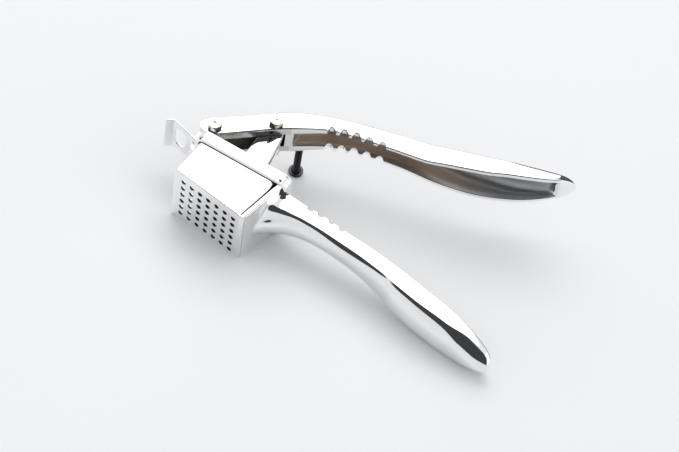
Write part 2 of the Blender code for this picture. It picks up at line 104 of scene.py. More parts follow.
# ------------------------------------------------------------------ modelling
class Bench:
    """Modelling operators that always start from a clean selection."""

    @staticmethod
    def clear() -> None:
        """Leave edit mode and deselect everything."""
        if bpy.context.object is not None and bpy.context.object.mode != "OBJECT":
            bpy.ops.object.mode_set(mode="OBJECT")
        bpy.ops.object.select_all(action="DESELECT")

    @staticmethod
    def pick(obj: bpy.types.Object) -> None:
        """Select one object and make it active.

        Args:
            obj: the object.
        """
        Bench.clear()
        obj.select_set(True)
        bpy.context.view_layer.objects.active = obj

    @staticmethod
    def loft(name: str, rings: Sequence[Ring], closed: bool = False) -> bpy.types.Object:
        """Extrude a circle through a row of rings and cap or close the result.

        Args:
            name: the new object's name.
            rings: rings with the same number of points, in order.
            closed: join the last ring to the first instead of capping both.

        Returns:
            The new object.
        """
        Bench.clear()
        bpy.ops.mesh.primitive_circle_add(vertices=len(rings[0]), radius=1.0)
        obj = bpy.context.object
        obj.name = name
        bpy.ops.object.mode_set(mode="EDIT")
        mesh = bmesh.from_edit_mesh(obj.data)
        seat = mesh.verts.layers.int.new("seat")
        row = mesh.verts.layers.int.new("row")
        for index, vert in enumerate(mesh.verts):
            vert[seat] = index
            vert[row] = 0
            vert.co = rings[0][index]
        bmesh.update_edit_mesh(obj.data)
        bpy.ops.mesh.select_all(action="SELECT")
        path = list(rings[1:]) + ([rings[0]] if closed else [])
        for number, ring in enumerate(path, start=1):
            bpy.ops.mesh.extrude_region_move()
            mesh = bmesh.from_edit_mesh(obj.data)
            seat = mesh.verts.layers.int["seat"]
            row = mesh.verts.layers.int["row"]
            for vert in mesh.verts:
                if vert.select:
                    vert.co = ring[vert[seat]]
                    vert[row] = number
            bmesh.update_edit_mesh(obj.data)
        if closed:
            bpy.ops.mesh.select_all(action="SELECT")
            bpy.ops.mesh.remove_doubles(threshold=1e-5)
        else:
            for number in (0, len(rings) - 1):
                Bench.select_row(obj, number)
                bpy.ops.mesh.edge_face_add()
        bpy.ops.mesh.select_all(action="SELECT")
        bpy.ops.mesh.normals_make_consistent(inside=False)
        bpy.ops.object.mode_set(mode="OBJECT")
        for layer in ("seat", "row"):
            obj.data.attributes.remove(obj.data.attributes[layer])
        return obj

    @staticmethod
    def select_row(obj: bpy.types.Object, number: int) -> None:
        """Select one ring of a loft in edit mode.

        Args:
            obj: the loft, in edit mode.
            number: the ring's number.
        """
        bpy.ops.mesh.select_all(action="DESELECT")
        mesh = bmesh.from_edit_mesh(obj.data)
        row = mesh.verts.layers.int["row"]
        for vert in mesh.verts:
            vert.select = vert[row] == number
        mesh.select_flush(True)
        bmesh.update_edit_mesh(obj.data)

    @staticmethod
    def slab(name: str, outline: Sequence[Point], low: float, high: float,
             placement: Matrix | None = None) -> bpy.types.Object:
        """Extrude a closed outline from one height to another and lay it on a plane.

        Args:
            name: the new object's name.
            outline: the outline's points, in order.
            low: the height of the first face.
            high: the height of the second face.
            placement: where the drawing lies, or None to leave it on XY.

        Returns:
            The new object.
        """
        flat = [[Vector((x, y, height)) for x, y in outline] for height in (low, high)]
        obj = Bench.loft(name, flat)
        if placement is not None:
            obj.data.transform(placement)
        return obj

    @staticmethod
    def turned(name: str, centre: Point, profile: Sequence[Point], sides: int = 48,
               angle: float = 0.0) -> bpy.types.Object:
        """Make a round or many-sided solid about a Z axis.

        Args:
            name: the new object's name.
            centre: the axis's place.
            profile: radius and height pairs, in order.
            sides: the number of sides.
            angle: the first side's angle, in radians.

        Returns:
            The new object.
        """
        turns = [angle + 2.0 * math.pi * index / sides for index in range(sides)]
        rings = [[around(centre, radius, turn, height) for turn in turns]
                 for radius, height in profile]
        return Bench.loft(name, rings)

    @staticmethod
    def boolean(obj: bpy.types.Object, other: bpy.types.Object, cut: Cut) -> bpy.types.Object:
        """Apply a Boolean with the exact solver and remove the other solid.

        Args:
            obj: the solid that is worked on.
            other: the solid that acts on it.
            cut: how it acts.

        Returns:
            The solid that was worked on.
        """
        Bench.pick(obj)
        modifier = obj.modifiers.new("cut", "BOOLEAN")
        modifier.operation = cut.value
        modifier.object = other
        modifier.solver = "EXACT"
        bpy.ops.object.modifier_apply(modifier=modifier.name)
        bpy.data.objects.remove(other, do_unlink=True)
        return obj

    @staticmethod
    def drill(obj: bpy.types.Object, centre: Point, profile: Sequence[Point],
              sides: int = 32) -> None:
        """Cut a round hole about a Z axis, given as radius and height pairs."""
        Bench.boolean(obj, Bench.turned("drill", centre, profile, sides), Cut.REMOVE)

    @staticmethod
    def soften(obj: bpy.types.Object, width: float, angle: float) -> None:
        """Bevel every edge sharper than an angle.

        Args:
            obj: the solid.
            width: the bevel's width.
            angle: the angle, in degrees.
        """
        Bench.pick(obj)
        modifier = obj.modifiers.new("soften", "BEVEL")
        modifier.width = width
        modifier.segments = BEVEL_SEGMENTS
        modifier.limit_method = "ANGLE"
        modifier.angle_limit = math.radians(angle)
        bpy.ops.object.modifier_apply(modifier=modifier.name)

    @staticmethod
    def turn(obj: bpy.types.Object, degrees: float) -> None:
        """Turn a mesh about the Z axis through the origin."""
        obj.data.transform(Matrix.Rotation(math.radians(degrees), 4, "Z"))

    @staticmethod
    def shift(obj: bpy.types.Object, place: Sequence[float]) -> None:
        """Move a mesh by a distance along each axis."""
        obj.data.transform(Matrix.Translation(place))

    @staticmethod
    def join(name: str, parts: Sequence[bpy.types.Object]) -> bpy.types.Object:
        """Join separate meshes into one object.

        Args:
            name: the joined object's name.
            parts: the objects, the first of which is kept.

        Returns:
            The joined object.
        """
        Bench.pick(parts[0])
        for part in parts[1:]:
            part.select_set(True)
        bpy.ops.object.join()
        parts[0].name = name
        return parts[0]

    @staticmethod
    def deliver(obj: bpy.types.Object, body: Body, slot: Slot, finish: "Finish",
                nodes: Iterable[str], angle: float = SMOOTH_ANGLE) -> None:
        """Clean, shade, dress and place a finished piece, and let it stand for its CAD nodes.

        Args:
            obj: the piece, in millimetres in the sieve's frame.
            body: the rigid body that it rides on.
            slot: its material slot in the record; not used.
            finish: its finish.
            nodes: the CAD nodes that it stands for.
            angle: the sharpest angle that is shaded smooth, in degrees.
        """
        Bench.pick(obj)
        bpy.ops.object.mode_set(mode="EDIT")
        bpy.ops.mesh.select_all(action="SELECT")
        bpy.ops.mesh.remove_doubles(threshold=MERGE_GAP)
        bpy.ops.mesh.dissolve_degenerate(threshold=SLIVER)
        bpy.ops.object.mode_set(mode="OBJECT")
        bpy.ops.object.shade_smooth_by_angle(angle=math.radians(angle))
        obj.scale = (MM, MM, MM)
        obj.location = row_offset()
        bpy.ops.object.transform_apply(location=True, rotation=True, scale=True)
        finish.dress(obj)
        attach(obj, body.value)
        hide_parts(*nodes)
        LOG.info("%s: %d faces on %s", obj.name, len(obj.data.polygons), body.value)


# ------------------------------------------------------------------ outlines
def around(centre: Point, radius: float, turn: float, height: float) -> Vector:
    """Return the point at a radius, an angle in radians and a height about a Z axis."""
    x, y = centre
    return Vector((x + radius * math.cos(turn), y + radius * math.sin(turn), height))


def arc(centre: Point, radius: float, start: float, end: float, steps: int) -> list[Point]:
    """Return points on an arc.

    Args:
        centre: the arc's centre.
        radius: its radius.
        start: its first angle, in degrees.
        end: its last angle, in degrees.
        steps: how many chords it is split into.

    Returns:
        The points, in order.
    """
    x, y = centre
    turns = [math.radians(start + (end - start) * index / steps) for index in range(steps + 1)]
    return [(x + radius * math.cos(turn), y + radius * math.sin(turn)) for turn in turns]


def rounded_box(left: float, right: float, bottom: float, top: float, radius: float,
                steps: int = 6) -> list[Point]:
    """Return a rectangle with round corners.

    Args:
        left: its left side.
        right: its right side.
        bottom: its lower side.
        top: its upper side.
        radius: its corners' radius.
        steps: how many chords each corner is split into.

    Returns:
        The points, anticlockwise.
    """
    corners = ((right - radius, top - radius, 0.0), (left + radius, top - radius, 90.0),
               (left + radius, bottom + radius, 180.0), (right - radius, bottom + radius, 270.0))
    outline: list[Point] = []
    for x, y, start in corners:
        outline += arc((x, y), radius, start, start + 90.0, steps)
    return outline


def inset_box(box: Box, inset: float = 0.0) -> list[Point]:
    """Return a rounded rectangle of a left, right, half width and corner, drawn in all round."""
    left, right, half, corner = box
    return rounded_box(left + inset, right - inset, -half + inset, half - inset, corner - inset)


def plane(origin: Sequence[float], along: Sequence[float], up: Sequence[float]) -> Matrix:
    """Return the matrix that lays a flat drawing on the plane of two directions.

    Args:
        origin: where the drawing's origin lies.
        along: the direction of its x.
        up: the direction of its y.

    Returns:
        The matrix.
    """
    first = Vector(along).normalized()
    second = Vector(up).normalized()
    matrix = Matrix((first, second, first.cross(second))).transposed().to_4x4()
    matrix.translation = Vector(origin)
    return matrix


def facing(place: Vector, direction: Vector) -> Matrix:
    """Return the matrix that moves a flat piece to a place and turns its face to a direction."""
    return Matrix.Translation(place) @ direction.to_track_quat("Z", "Y").to_matrix().to_4x4()


def spline(values: Sequence[Sequence[float]], position: float) -> list[float]:
    """Return a Catmull-Rom point of a table.

    Args:
        values: the table's rows.
        position: the fractional row number.

    Returns:
        One number for each column.
    """
    last = len(values) - 1
    index = min(max(int(math.floor(position)), 0), last - 1)
    share = position - index
    rows = [values[min(max(index + shift, 0), last)] for shift in (-1, 0, 1, 2)]
    point = []
    for a, b, c, d in zip(*rows):
        point.append(0.5 * (2 * b + (c - a) * share + (2 * a - 5 * b + 4 * c - d) * share ** 2
                            + (3 * b - a - 3 * c + d) * share ** 3))
    return point


def ease(value: float, low: float, high: float) -> float:
    """Return a smooth step between two limits."""
    share = min(max((value - low) / (high - low), 0.0), 1.0)
    return share * share * (3.0 - 2.0 * share)


# ------------------------------------------------------------------ shader graph
class Signal:
    """A shader socket that can be used in Python arithmetic."""

    def __init__(self, graph: "Graph", socket: bpy.types.NodeSocket) -> None:
        """Hold the socket and the graph that it belongs to."""
        self.graph = graph
        self.socket = socket

    def __add__(self, other: "Signal | float") -> "Signal":
        """Add."""
        return self.graph.math("ADD", self, other)

    def __sub__(self, other: "Signal | float") -> "Signal":
        """Subtract."""
        return self.graph.math("SUBTRACT", self, other)

    def __rsub__(self, other: float) -> "Signal":
        """Subtract from a number."""
        return self.graph.math("SUBTRACT", other, self)

    def __mul__(self, other: "Signal | float") -> "Signal":
        """Multiply."""
        return self.graph.math("MULTIPLY", self, other)

    __radd__ = __add__
    __rmul__ = __mul__

    def between(self, low: float, high: float) -> "Signal":
        """Return 0 below one limit, 1 above the other and a smooth step between them.

        Args:
            low: the limit that gives 0.
            high: the limit that gives 1.

        Returns:
            The new signal.
        """
        settings = {"interpolation_type": "SMOOTHSTEP", "clamp": True}
        limits = {"Value": self, "From Min": low, "From Max": high}
        return self.graph.node("ShaderNodeMapRange", settings, limits).out("Result")


Value = Signal | float | Sequence[float]


class Built:
    """A new node, with its outputs by name."""

    def __init__(self, graph: "Graph", node: bpy.types.Node) -> None:
        """Hold the node."""
        self.graph = graph
        self.node = node

    def out(self, name: str) -> Signal:
        """Return one enabled output as a signal."""
        socket = next(item for item in self.node.outputs if item.name == name and item.enabled)
        return Signal(self.graph, socket)


class Graph:
    """A node tree that is written as expressions."""

    def __init__(self, tree: bpy.types.NodeTree) -> None:
        """Start from an empty tree."""
        self.tree = tree
        tree.nodes.clear()

    def node(self, kind: str, settings: dict[str, object], inputs: dict[str, Value]) -> Built:
        """Add a node, set its settings first and then its sockets.

        Args:
            kind: the node's type.
            settings: the node's own properties.
            inputs: values or signals by socket name.

        Returns:
            The new node.
        """
        node = self.tree.nodes.new(kind)
        for name, value in settings.items():
            setattr(node, name, value)
        for name, value in inputs.items():
            socket = next(item for item in node.inputs if item.name == name and item.enabled)
            self.feed(socket, value)
        return Built(self, node)

    def feed(self, socket: bpy.types.NodeSocket, value: Value) -> None:
        """Link a signal to a socket or set the socket's value.

        Args:
            socket: the socket.
            value: a signal, a number, a colour or a vector.
        """
        if isinstance(value, Signal):
            self.tree.links.new(value.socket, socket)
        else:
            socket.default_value = value

    def math(self, operation: str, first: Value, second: Value = 0.0) -> Signal:
        """Add a Math node.

        Args:
            operation: the node's operation.
            first: its first value.
            second: its second value.

        Returns:
            Its result.
        """
        node = self.tree.nodes.new("ShaderNodeMath")
        node.operation = operation
        self.feed(node.inputs[0], first)
        self.feed(node.inputs[1], second)
        return Signal(self, node.outputs[0])

    def blend(self, factor: Value, first: Value, second: Value) -> Signal:
        """Mix two colours."""
        return self.node("ShaderNodeMix", {"data_type": "RGBA"},
                         {"Factor": factor, "A": first, "B": second}).out("Result")

    def noise(self, vector: Signal, scale: float, detail: float = 3.0) -> Signal:
        """Return a noise value."""
        return self.node("ShaderNodeTexNoise", {},
                         {"Vector": vector, "Scale": scale, "Detail": detail}).out("Fac")

    def place(self) -> Signal:
        """Return the object coordinates."""
        return self.node("ShaderNodeTexCoord", {}, {}).out("Object")

    def stretched(self, vector: Signal, scale: Sequence[float], turn: float) -> Signal:
        """Scale a vector by axis after turning it about Z."""
        inputs = {"Vector": vector, "Rotation": (0.0, 0.0, turn), "Scale": scale}
        return self.node("ShaderNodeMapping", {}, inputs).out("Vector")

    def attribute(self, name: str) -> Signal:
        """Return a mesh attribute."""
        return self.node("ShaderNodeAttribute", {"attribute_name": name}, {}).out("Fac")

    def surface(self, inputs: dict[str, Value]) -> None:
        """End the graph in a Principled surface.

        Args:
            inputs: values or signals by the shader's socket names.
        """
        shader = self.node("ShaderNodeBsdfPrincipled", {}, inputs)
        output = self.tree.nodes.new("ShaderNodeOutputMaterial")
        self.tree.links.new(shader.out("BSDF").socket, output.inputs["Surface"])

    def bump(self, height: Signal) -> Signal:
        """Return a normal from a height in metres."""
        inputs = {"Height": height, "Distance": 1.0, "Strength": 1.0}
        return self.node("ShaderNodeBump", {}, inputs).out("Normal")


def blank_material(name: str) -> tuple[bpy.types.Material, Graph]:
    """Return a new node material and its empty graph.

    Args:
        name: the material's name.

    Returns:
        The material and its graph.
    """
    material = bpy.data.materials.new(name)
    material.use_nodes = True
    return material, Graph(material.node_tree)


# ------------------------------------------------------------------ finishes
@dataclass(frozen=True)
class Finish:
    """A metal finish: a tint, painted shade for hollows, a gloss range, and how far its surface
    waves.

    Attributes:
        name: the material's name.
        tint: the reflection colour.
        shade_and_wear_tint: the painted shade colour of recesses; rubbed wear on the side screw.
        far_shade_and_wear_tint: the painted shade colour of recesses towards the handles' tips.
        gloss: lowest and highest roughness of the open surface.
        dull_gloss: the roughness of recesses.
        wave: height of the long waves of the surface, in metres.
        grain: height of the fine grain, in metres.
        grain_scale: the fine grain's frequency.
    """

    name: str
    tint: Colour
    # The next two colours are painted shade on the castings and the sieve, and rubbed wear on the
    # side screw.
    shade_and_wear_tint: Colour
    far_shade_and_wear_tint: Colour
    gloss: Point
    dull_gloss: float
    wave: float
    grain: float
    grain_scale: float
    cloud_scale: ClassVar[float] = 55.0
    cloud_shade: ClassVar[float] = 0.97
    scratch_scale: ClassVar[tuple[float, float, float]] = (90.0, 2600.0, 1400.0)
    scratch_turn: ClassVar[float] = 0.5
    scratch_gloss: ClassVar[float] = 0.03
    speck_gloss: ClassVar[float] = 0.02
    far_tint_range: ClassVar[Point] = (0.0, 0.045)

    def dress(self, obj: bpy.types.Object) -> None:
        """Give a piece this finish as its only material.

        Args:
            obj: the piece.
        """
        material = bpy.data.materials.get(self.name) or self.build()
        obj.data.materials.clear()
        obj.data.materials.append(material)
        if "recess" not in obj.data.attributes:
            obj.data.attributes.new("recess", "FLOAT", "POINT")

    def build(self) -> bpy.types.Material:
        """Return the finish as a new node material."""
        material, graph = blank_material(self.name)
        place = graph.place()
        cloud = graph.noise(place, self.cloud_scale, 2.0)
        speck = graph.noise(place, self.grain_scale, 4.0)
        brushed = graph.stretched(place, self.scratch_scale, self.scratch_turn)
        hairline = graph.noise(brushed, 1.0, 2.0).between(0.62, 0.72)
        recess = graph.attribute("recess")
        # How much of the marked colour each face takes: painted shade on castings and sieve, wear
        # on the screw.
        shade_and_wear = recess * (0.75 + cloud * 0.5)
        shade = [value * self.cloud_shade for value in self.tint]
        bright = graph.blend(cloud.between(0.35, 0.7), (*self.tint, 1.0), (*shade, 1.0))
        low, high = self.gloss
        open_gloss = low + cloud.between(0.3, 0.75) * (high - low) + hairline * self.scratch_gloss
        open_gloss = open_gloss + speck.between(0.55, 0.8) * self.speck_gloss
        roughness = open_gloss + shade_and_wear * (self.dull_gloss - low)
        height = cloud * self.wave + speck * self.grain
        # The painted shade turns from the second colour to the third along X, greyer towards the
        # handles' tips.
        across = graph.node("ShaderNodeSeparateXYZ", {}, {"Vector": place}).out("X")
        along = across.between(*self.far_tint_range)
        dark = graph.blend(along, (*self.shade_and_wear_tint, 1.0), (*self.far_shade_and_wear_tint, 1.0))
        graph.surface({
            "Base Color": graph.blend(shade_and_wear.between(0.0, 1.0), bright, dark),
            "Metallic": 1.0,
            "Roughness": roughness,
            "Normal": graph.bump(height),
        })
        return material


# The castings' brown and grey hollow colours are painted shade in the channels, fork and head's
# front face.
CHROME = Finish(
    "polished_chrome", (0.93, 0.935, 0.94), (0.62, 0.54, 0.46), (0.44, 0.44, 0.445),
    (0.025, 0.06), 0.42, 4.0e-6, 6.0e-8, 1500.0)
# The sieve's near-black hollow colour is painted shade inside the box and its holes.
SIEVE_STEEL = Finish(
    "bright_sheet_steel", (0.93, 0.93, 0.94), (0.07, 0.062, 0.06), (0.07, 0.062, 0.06),
    (0.12, 0.2), 0.4, 5.0e-6, 6.0e-7, 2200.0)
NICKEL = Finish(
    "warm_nickel", (0.78, 0.73, 0.63), (0.32, 0.26, 0.2), (0.32, 0.26, 0.2),
    (0.14, 0.22), 0.35, 3.0e-6, 5.0e-7, 2600.0)
BLACK_OXIDE = Finish(
    "black_oxide", (0.035, 0.036, 0.04), (0.16, 0.16, 0.165), (0.16, 0.16, 0.165),
    (0.22, 0.34), 0.3, 2.0e-6, 1.2e-6, 3000.0)


def paint_recess(obj: bpy.types.Object, measure: "Recess") -> None:
    """Store how deep each face corner lies in a recess, before the piece is placed.

    Args:
        obj: the piece, in the sieve's frame.
        measure: what tells the depth.
    """
    layer = obj.data.attributes.get("recess")
    if layer is None:
        layer = obj.data.attributes.new("recess", "FLOAT", "CORNER")
    # The values set painted shade; on the side screw they set rubbed wear.
    values = [0.0] * len(obj.data.loops)
    for polygon in obj.data.polygons:
        if measure.holds(polygon.center):
            for loop in polygon.loop_indices:
                vertex = obj.data.vertices[obj.data.loops[loop].vertex_index]
                values[loop] = measure.depth(vertex.co)
    layer.data.foreach_set("value", values)


class Recess:
    """How deep a point lies in a hollow, from 0 on the open surface to 1, for painted shade."""

    def holds(self, centre: Vector) -> bool:
        """Tell whether a face with this centre lies in the hollow."""
        return True

    def depth(self, point: Vector) -> float:
        """Return the depth of a point."""
        return 0.0


# ------------------------------------------------------------------ handles
@dataclass(frozen=True)
class Channel:
    """The hollow along a handle's inner edge.

    Attributes:
        start: where it starts along the handle's stations, as a fractional row.
        end: where it ends.
        rise: the length of its first end wall, in rows.
        fall: the length of its last end wall, in rows.
    """

    start: float
    end: float
    rise: float
    fall: float

    def open_share(self, row: float) -> float:
        """Return how much of the full depth is reached at a row.

        Args:
            row: the fractional row of the handle's stations.

        Returns:
            The share, from 0 to 1.
        """
        first = min(max((row - self.start) / self.rise, 0.0), 1.0)
        last = min(max((self.end - row) / self.fall, 0.0), 1.0)
        return min(first, last)


@dataclass
class Handle(Recess):
    """A cast handle: flat cheeks, an elliptical spine, round lips and a hollow inner edge.

    Each station holds the inner edge's x and y, the spine's x and y, half the width, half the
    hollow's width and the hollow's depth. Each rounding holds a fractional row, the radius of
    the shoulder between cheek and spine, and the spine's share of the whole reach.

    Attributes:
        name: the casting's name.
        stations: the table of cross sections, from the head to the tip.
        channel: where the hollow runs.
        rounding: the table of shoulder roundings.
        fork_end: the x where a forked head ends, or None without a fork.
        shoulder_turn: how far the shoulder turns before the spine takes over, in degrees.
        front_face: half the width of the head's front face, which takes painted shade.
        lip: the radius of the lips along the handle.
        head_lip: the radius of the lips at the head.
        lip_change: the rows between which one lip becomes the other.
        step: the distance between rings.
        skin: how far below the surface a face counts as inside a hollow.
        draft: how much narrower the hollow's floor is than its mouth, on each side.
        track: the place and size of each section made so far.
    """

    name: str
    stations: Sequence[Sequence[float]]
    channel: Channel
    rounding: Sequence[tuple[float, float, float]]
    fork_end: float | None = None
    shoulder_turn: float = 60.0
    front_face: float = 9.3
    lip: float = 0.7
    head_lip: float = 0.9
    lip_change: Point = (5.0, 6.6)
    step: float = 1.8
    skin: float = 0.3
    draft: float = 0.35
    track: list[tuple[Vector, Vector, float, float, float]] = field(default_factory=list)
    shoulder_steps: ClassVar[int] = 8
    spine_steps: ClassVar[int] = 10
    floor_steps: ClassVar[int] = 8
    lip_angles: ClassVar[tuple[float, ...]] = (0.0, 22.5, 45.0, 67.5, 90.0)
    wall_shares: ClassVar[tuple[float, ...]] = (0.0, 0.12, 0.5, 0.88, 1.0)
    wall_gap: ClassVar[float] = 0.02

    def rows(self) -> list[float]:
        """Return the fractional rows of the rings, closer where an end wall stands."""
        rows: list[float] = []
        for index, (first, second) in enumerate(zip(self.stations, self.stations[1:])):
            length = math.hypot(second[0] - first[0], second[1] - first[1])
            count = max(1, round(length / self.step))
            rows += [index + part / count for part in range(count)]
        rows.append(float(len(self.stations) - 1))
        rise, fall = self.channel.rise, self.channel.fall
        for start, length in ((self.channel.start, rise), (self.channel.end - fall, fall)):
            low, high = start - self.wall_gap, start + length + self.wall_gap
            rows = [row for row in rows if not low <= row <= high]
            rows += [start + length * share for share in self.wall_shares]
        return sorted(rows)

    def section(self, row: float) -> Ring:
        """Return the closed ring at a row.

        Args:
            row: the fractional row of the stations.

        Returns:
            The ring, from the hollow's edge round the spine and back through the hollow.
        """
        front_x, front_y, spine_x, spine_y, half, hollow, depth = spline(self.stations, row)
        front = Vector((front_x, front_y))
        inward = Vector((spine_x, spine_y)) - front
        reach = inward.length
        inward.normalize()
        depth *= self.channel.open_share(row)
        self.track.append((front, inward, hollow, depth, reach))
        lip = self.lip + (self.head_lip - self.lip) * (1.0 - ease(row, *self.lip_change))
        lip = min(lip, 0.45 * (half - hollow), 0.3 * half, 0.28 * reach)
        radius, share = self.rounding_at(row)
        radius = min(radius, 0.75 * half, 0.9 * share * reach)
        shoulder = reach * (1.0 - share)
        outer = self.lip_curve(lip, half, hollow, depth)
        outer.append((lip + (shoulder - lip) * 0.5, half))
        outer += self.spine(shoulder, reach, half, radius)
        inside = self.hollow_curve(lip, hollow, depth)
        points = outer + [(reach, 0.0)] + [(t, -z) for t, z in reversed(outer)]
        points += [(t, -z) for t, z in inside] + [(depth, 0.0)]
        points += [(t, z) for t, z in reversed(inside)]
        return [Vector((*(front + inward * t), z)) for t, z in points]

    def lip_curve(self, lip: float, half: float, hollow: float, depth: float) -> list[Point]:
        """Return the curve from the hollow's edge over the round lip to the cheek.

        Args:
            lip: the lip's radius.
            half: half the handle's width.
            hollow: half the hollow's width.
            depth: the hollow's depth.

        Returns:
            Pairs of a distance from the inner edge and a z.
        """
        inner = 0.5 * lip
        opened = min(depth, 1.0)
        curve = [(inner * opened, hollow), (0.3 * inner * opened, hollow + 0.3 * inner),
                 (0.0, hollow + inner)]
        for angle in self.lip_angles:
            turn = math.radians(angle)
            curve.append((lip - lip * math.cos(turn), half - lip + lip * math.sin(turn)))
        return curve

    def hollow_curve(self, lip: float, hollow: float, depth: float) -> list[Point]:
        """Return the curve from the lip down one wall of the hollow to its floor.

        Args:
            lip: the lip's radius.
            hollow: half the hollow's width.
            depth: the hollow's depth.

        Returns:
            Pairs of a distance from the inner edge and a z.
        """
        bottom = hollow - self.draft
        fillet = 0.72 * bottom
        drop = 0.55 * depth
        curve = [(0.6 * lip * min(depth, 1.0), hollow - 0.1)]
        for index in range(self.floor_steps + 1):
            turn = math.radians(90.0 * index / self.floor_steps)
            curve.append((depth - drop * (1.0 - math.sin(turn)),
                          bottom - fillet * (1.0 - math.cos(turn))))
        return curve

    def rounding_at(self, row: float) -> Point:
        """Return the shoulder radius and the spine's share at a row.

        Args:
            row: the fractional row of the stations.

        Returns:
            The radius, and the spine's share of the reach.
        """
        for low, high in zip(self.rounding, self.rounding[1:]):
            if row <= high[0]:
                mix = ease(row, low[0], high[0])
                return low[1] + (high[1] - low[1]) * mix, low[2] + (high[2] - low[2]) * mix
        return self.rounding[-1][1], self.rounding[-1][2]

    def spine(self, shoulder: float, reach: float, half: float, radius: float) -> list[Point]:
        """Return the curve from the cheek over the shoulder to just short of the spine's middle.

        Args:
            shoulder: the distance from the inner edge at which the shoulder starts.
            reach: the distance from the inner edge to the spine.
            half: half the handle's width.
            radius: the shoulder's radius.

        Returns:
            Pairs of a distance from the inner edge and a z.
        """
        last = math.radians(self.shoulder_turn)
        turns = [last * index / self.shoulder_steps for index in range(self.shoulder_steps)]
        points = [(shoulder + radius * math.sin(turn), half - radius * (1.0 - math.cos(turn)))
                  for turn in turns]
        start = Vector((shoulder + radius * math.sin(last), half - radius * (1.0 - math.cos(last))))
        end = Vector((reach, 0.0))
        pull = min(0.62 * (reach - start.x) / math.cos(last), 0.6 * start.y / math.sin(last))
        first = start + Vector((math.cos(last), -math.sin(last))) * pull
        second = end + Vector((0.0, 0.5 * start.y))
        for index in range(self.spine_steps):
            mix = index / self.spine_steps
            rest = 1.0 - mix
            point = (start * rest ** 3 + first * 3 * rest ** 2 * mix + second * 3 * rest * mix ** 2
                     + end * mix ** 3)
            points.append((point.x, point.y))
        return points

    def local(self, point: Vector) -> tuple[float, float, float, float]:
        """Return a point's distance from the inner edge, and the hollow and reach at that place.

        Args:
            point: a point on the casting.

        Returns:
            The distance, half the hollow's width, the hollow's depth and the whole reach.
        """
        flat = Vector((point.x, point.y))
        nearest = min(self.track, key=lambda section: (section[0] - flat).length_squared)
        front, inward, hollow, depth, reach = nearest
        return (flat - front).dot(inward), hollow, depth, reach

    def holds(self, centre: Vector) -> bool:
        """Tell whether a face lies in the channel or in the head's fork, where shade is painted.

        Args:
            centre: the face's middle.

        Returns:
            True when it does, or when it lies on the head's front face, also painted shade.
        """
        offset, hollow, depth, reach = self.local(centre)
        side = abs(centre.z)
        channel = depth > 0.4 and side < hollow - 0.04 and self.skin < offset < depth + self.skin
        head = self.fork_end is not None and centre.x < self.fork_end
        fork = head and side < hollow and self.skin < offset < reach - 1.0
        return channel or fork or (head and offset < self.skin and side < self.front_face)

    def depth(self, point: Vector) -> float:
        """Return a point's depth in the hollow; the head's front face takes half the painted shade.

        Args:
            point: a point on the casting.

        Returns:
            The depth, from 0 on the open surface to 1.
        """
        offset, hollow = self.local(point)[:2]
        head = self.fork_end is not None and point.x < self.fork_end
        return 0.5 if head and abs(point.z) > hollow - 0.2 else ease(offset, 0.0, 2.0)

    def build(self) -> bpy.types.Object:
        """Loft the handle."""
        self.track.clear()
        return Bench.loft(self.name, [self.section(row) for row in self.rows()])


@dataclass(frozen=True)
class Notch:
    """A rounded V across both cheeks, flared where it leaves them.

    Attributes:
        centre: where the V's mouth meets the inner edge.
        half: half the width of the handle there.
        heading: the direction of the inner edge, in degrees.
        root: the radius of the V's bottom.
        middle: how far that radius's centre lies below the mouth.
        flank: the angle between each flank and the middle line, in degrees.
        mouth: how far above the inner edge the cut starts.
        flare: how far the cut widens where it leaves a cheek.
    """

    centre: Point
    half: float
    heading: float
    root: float = 1.55
    middle: float = 0.55
    flank: float = 32.0
    mouth: float = -1.6
    flare: float = 0.3

    def outline(self, grow: float) -> list[Point]:
        """Return the V's outline, enlarged by an offset.

        Args:
            grow: the offset.

        Returns:
            The outline's points.
        """
        points = arc((0.0, self.middle), self.root + grow, self.flank, 180.0 - self.flank, 10)
        slope = math.tan(math.radians(self.flank))
        end_x, end_y = points[0]
        spread = end_x + (end_y - self.mouth) * slope
        return [(spread, self.mouth)] + points + [(-spread, self.mouth)]

    def cutter(self) -> bpy.types.Object:
        """Return the solid to cut away."""
        near, far = self.half - self.flare, self.half + self.flare
        wide = 2.0 * self.flare
        levels = ((-far, wide), (-near, 0.0), (near, 0.0), (far, wide))
        rings = [[Vector((x, y, height)) for x, y in self.outline(grow)] for height, grow in levels]
        tool = Bench.loft("notch", rings)
        turn = Matrix.Rotation(math.radians(self.heading), 4, "Z")
        tool.data.transform(Matrix.Translation((*self.centre, 0.0)) @ turn)
        return tool


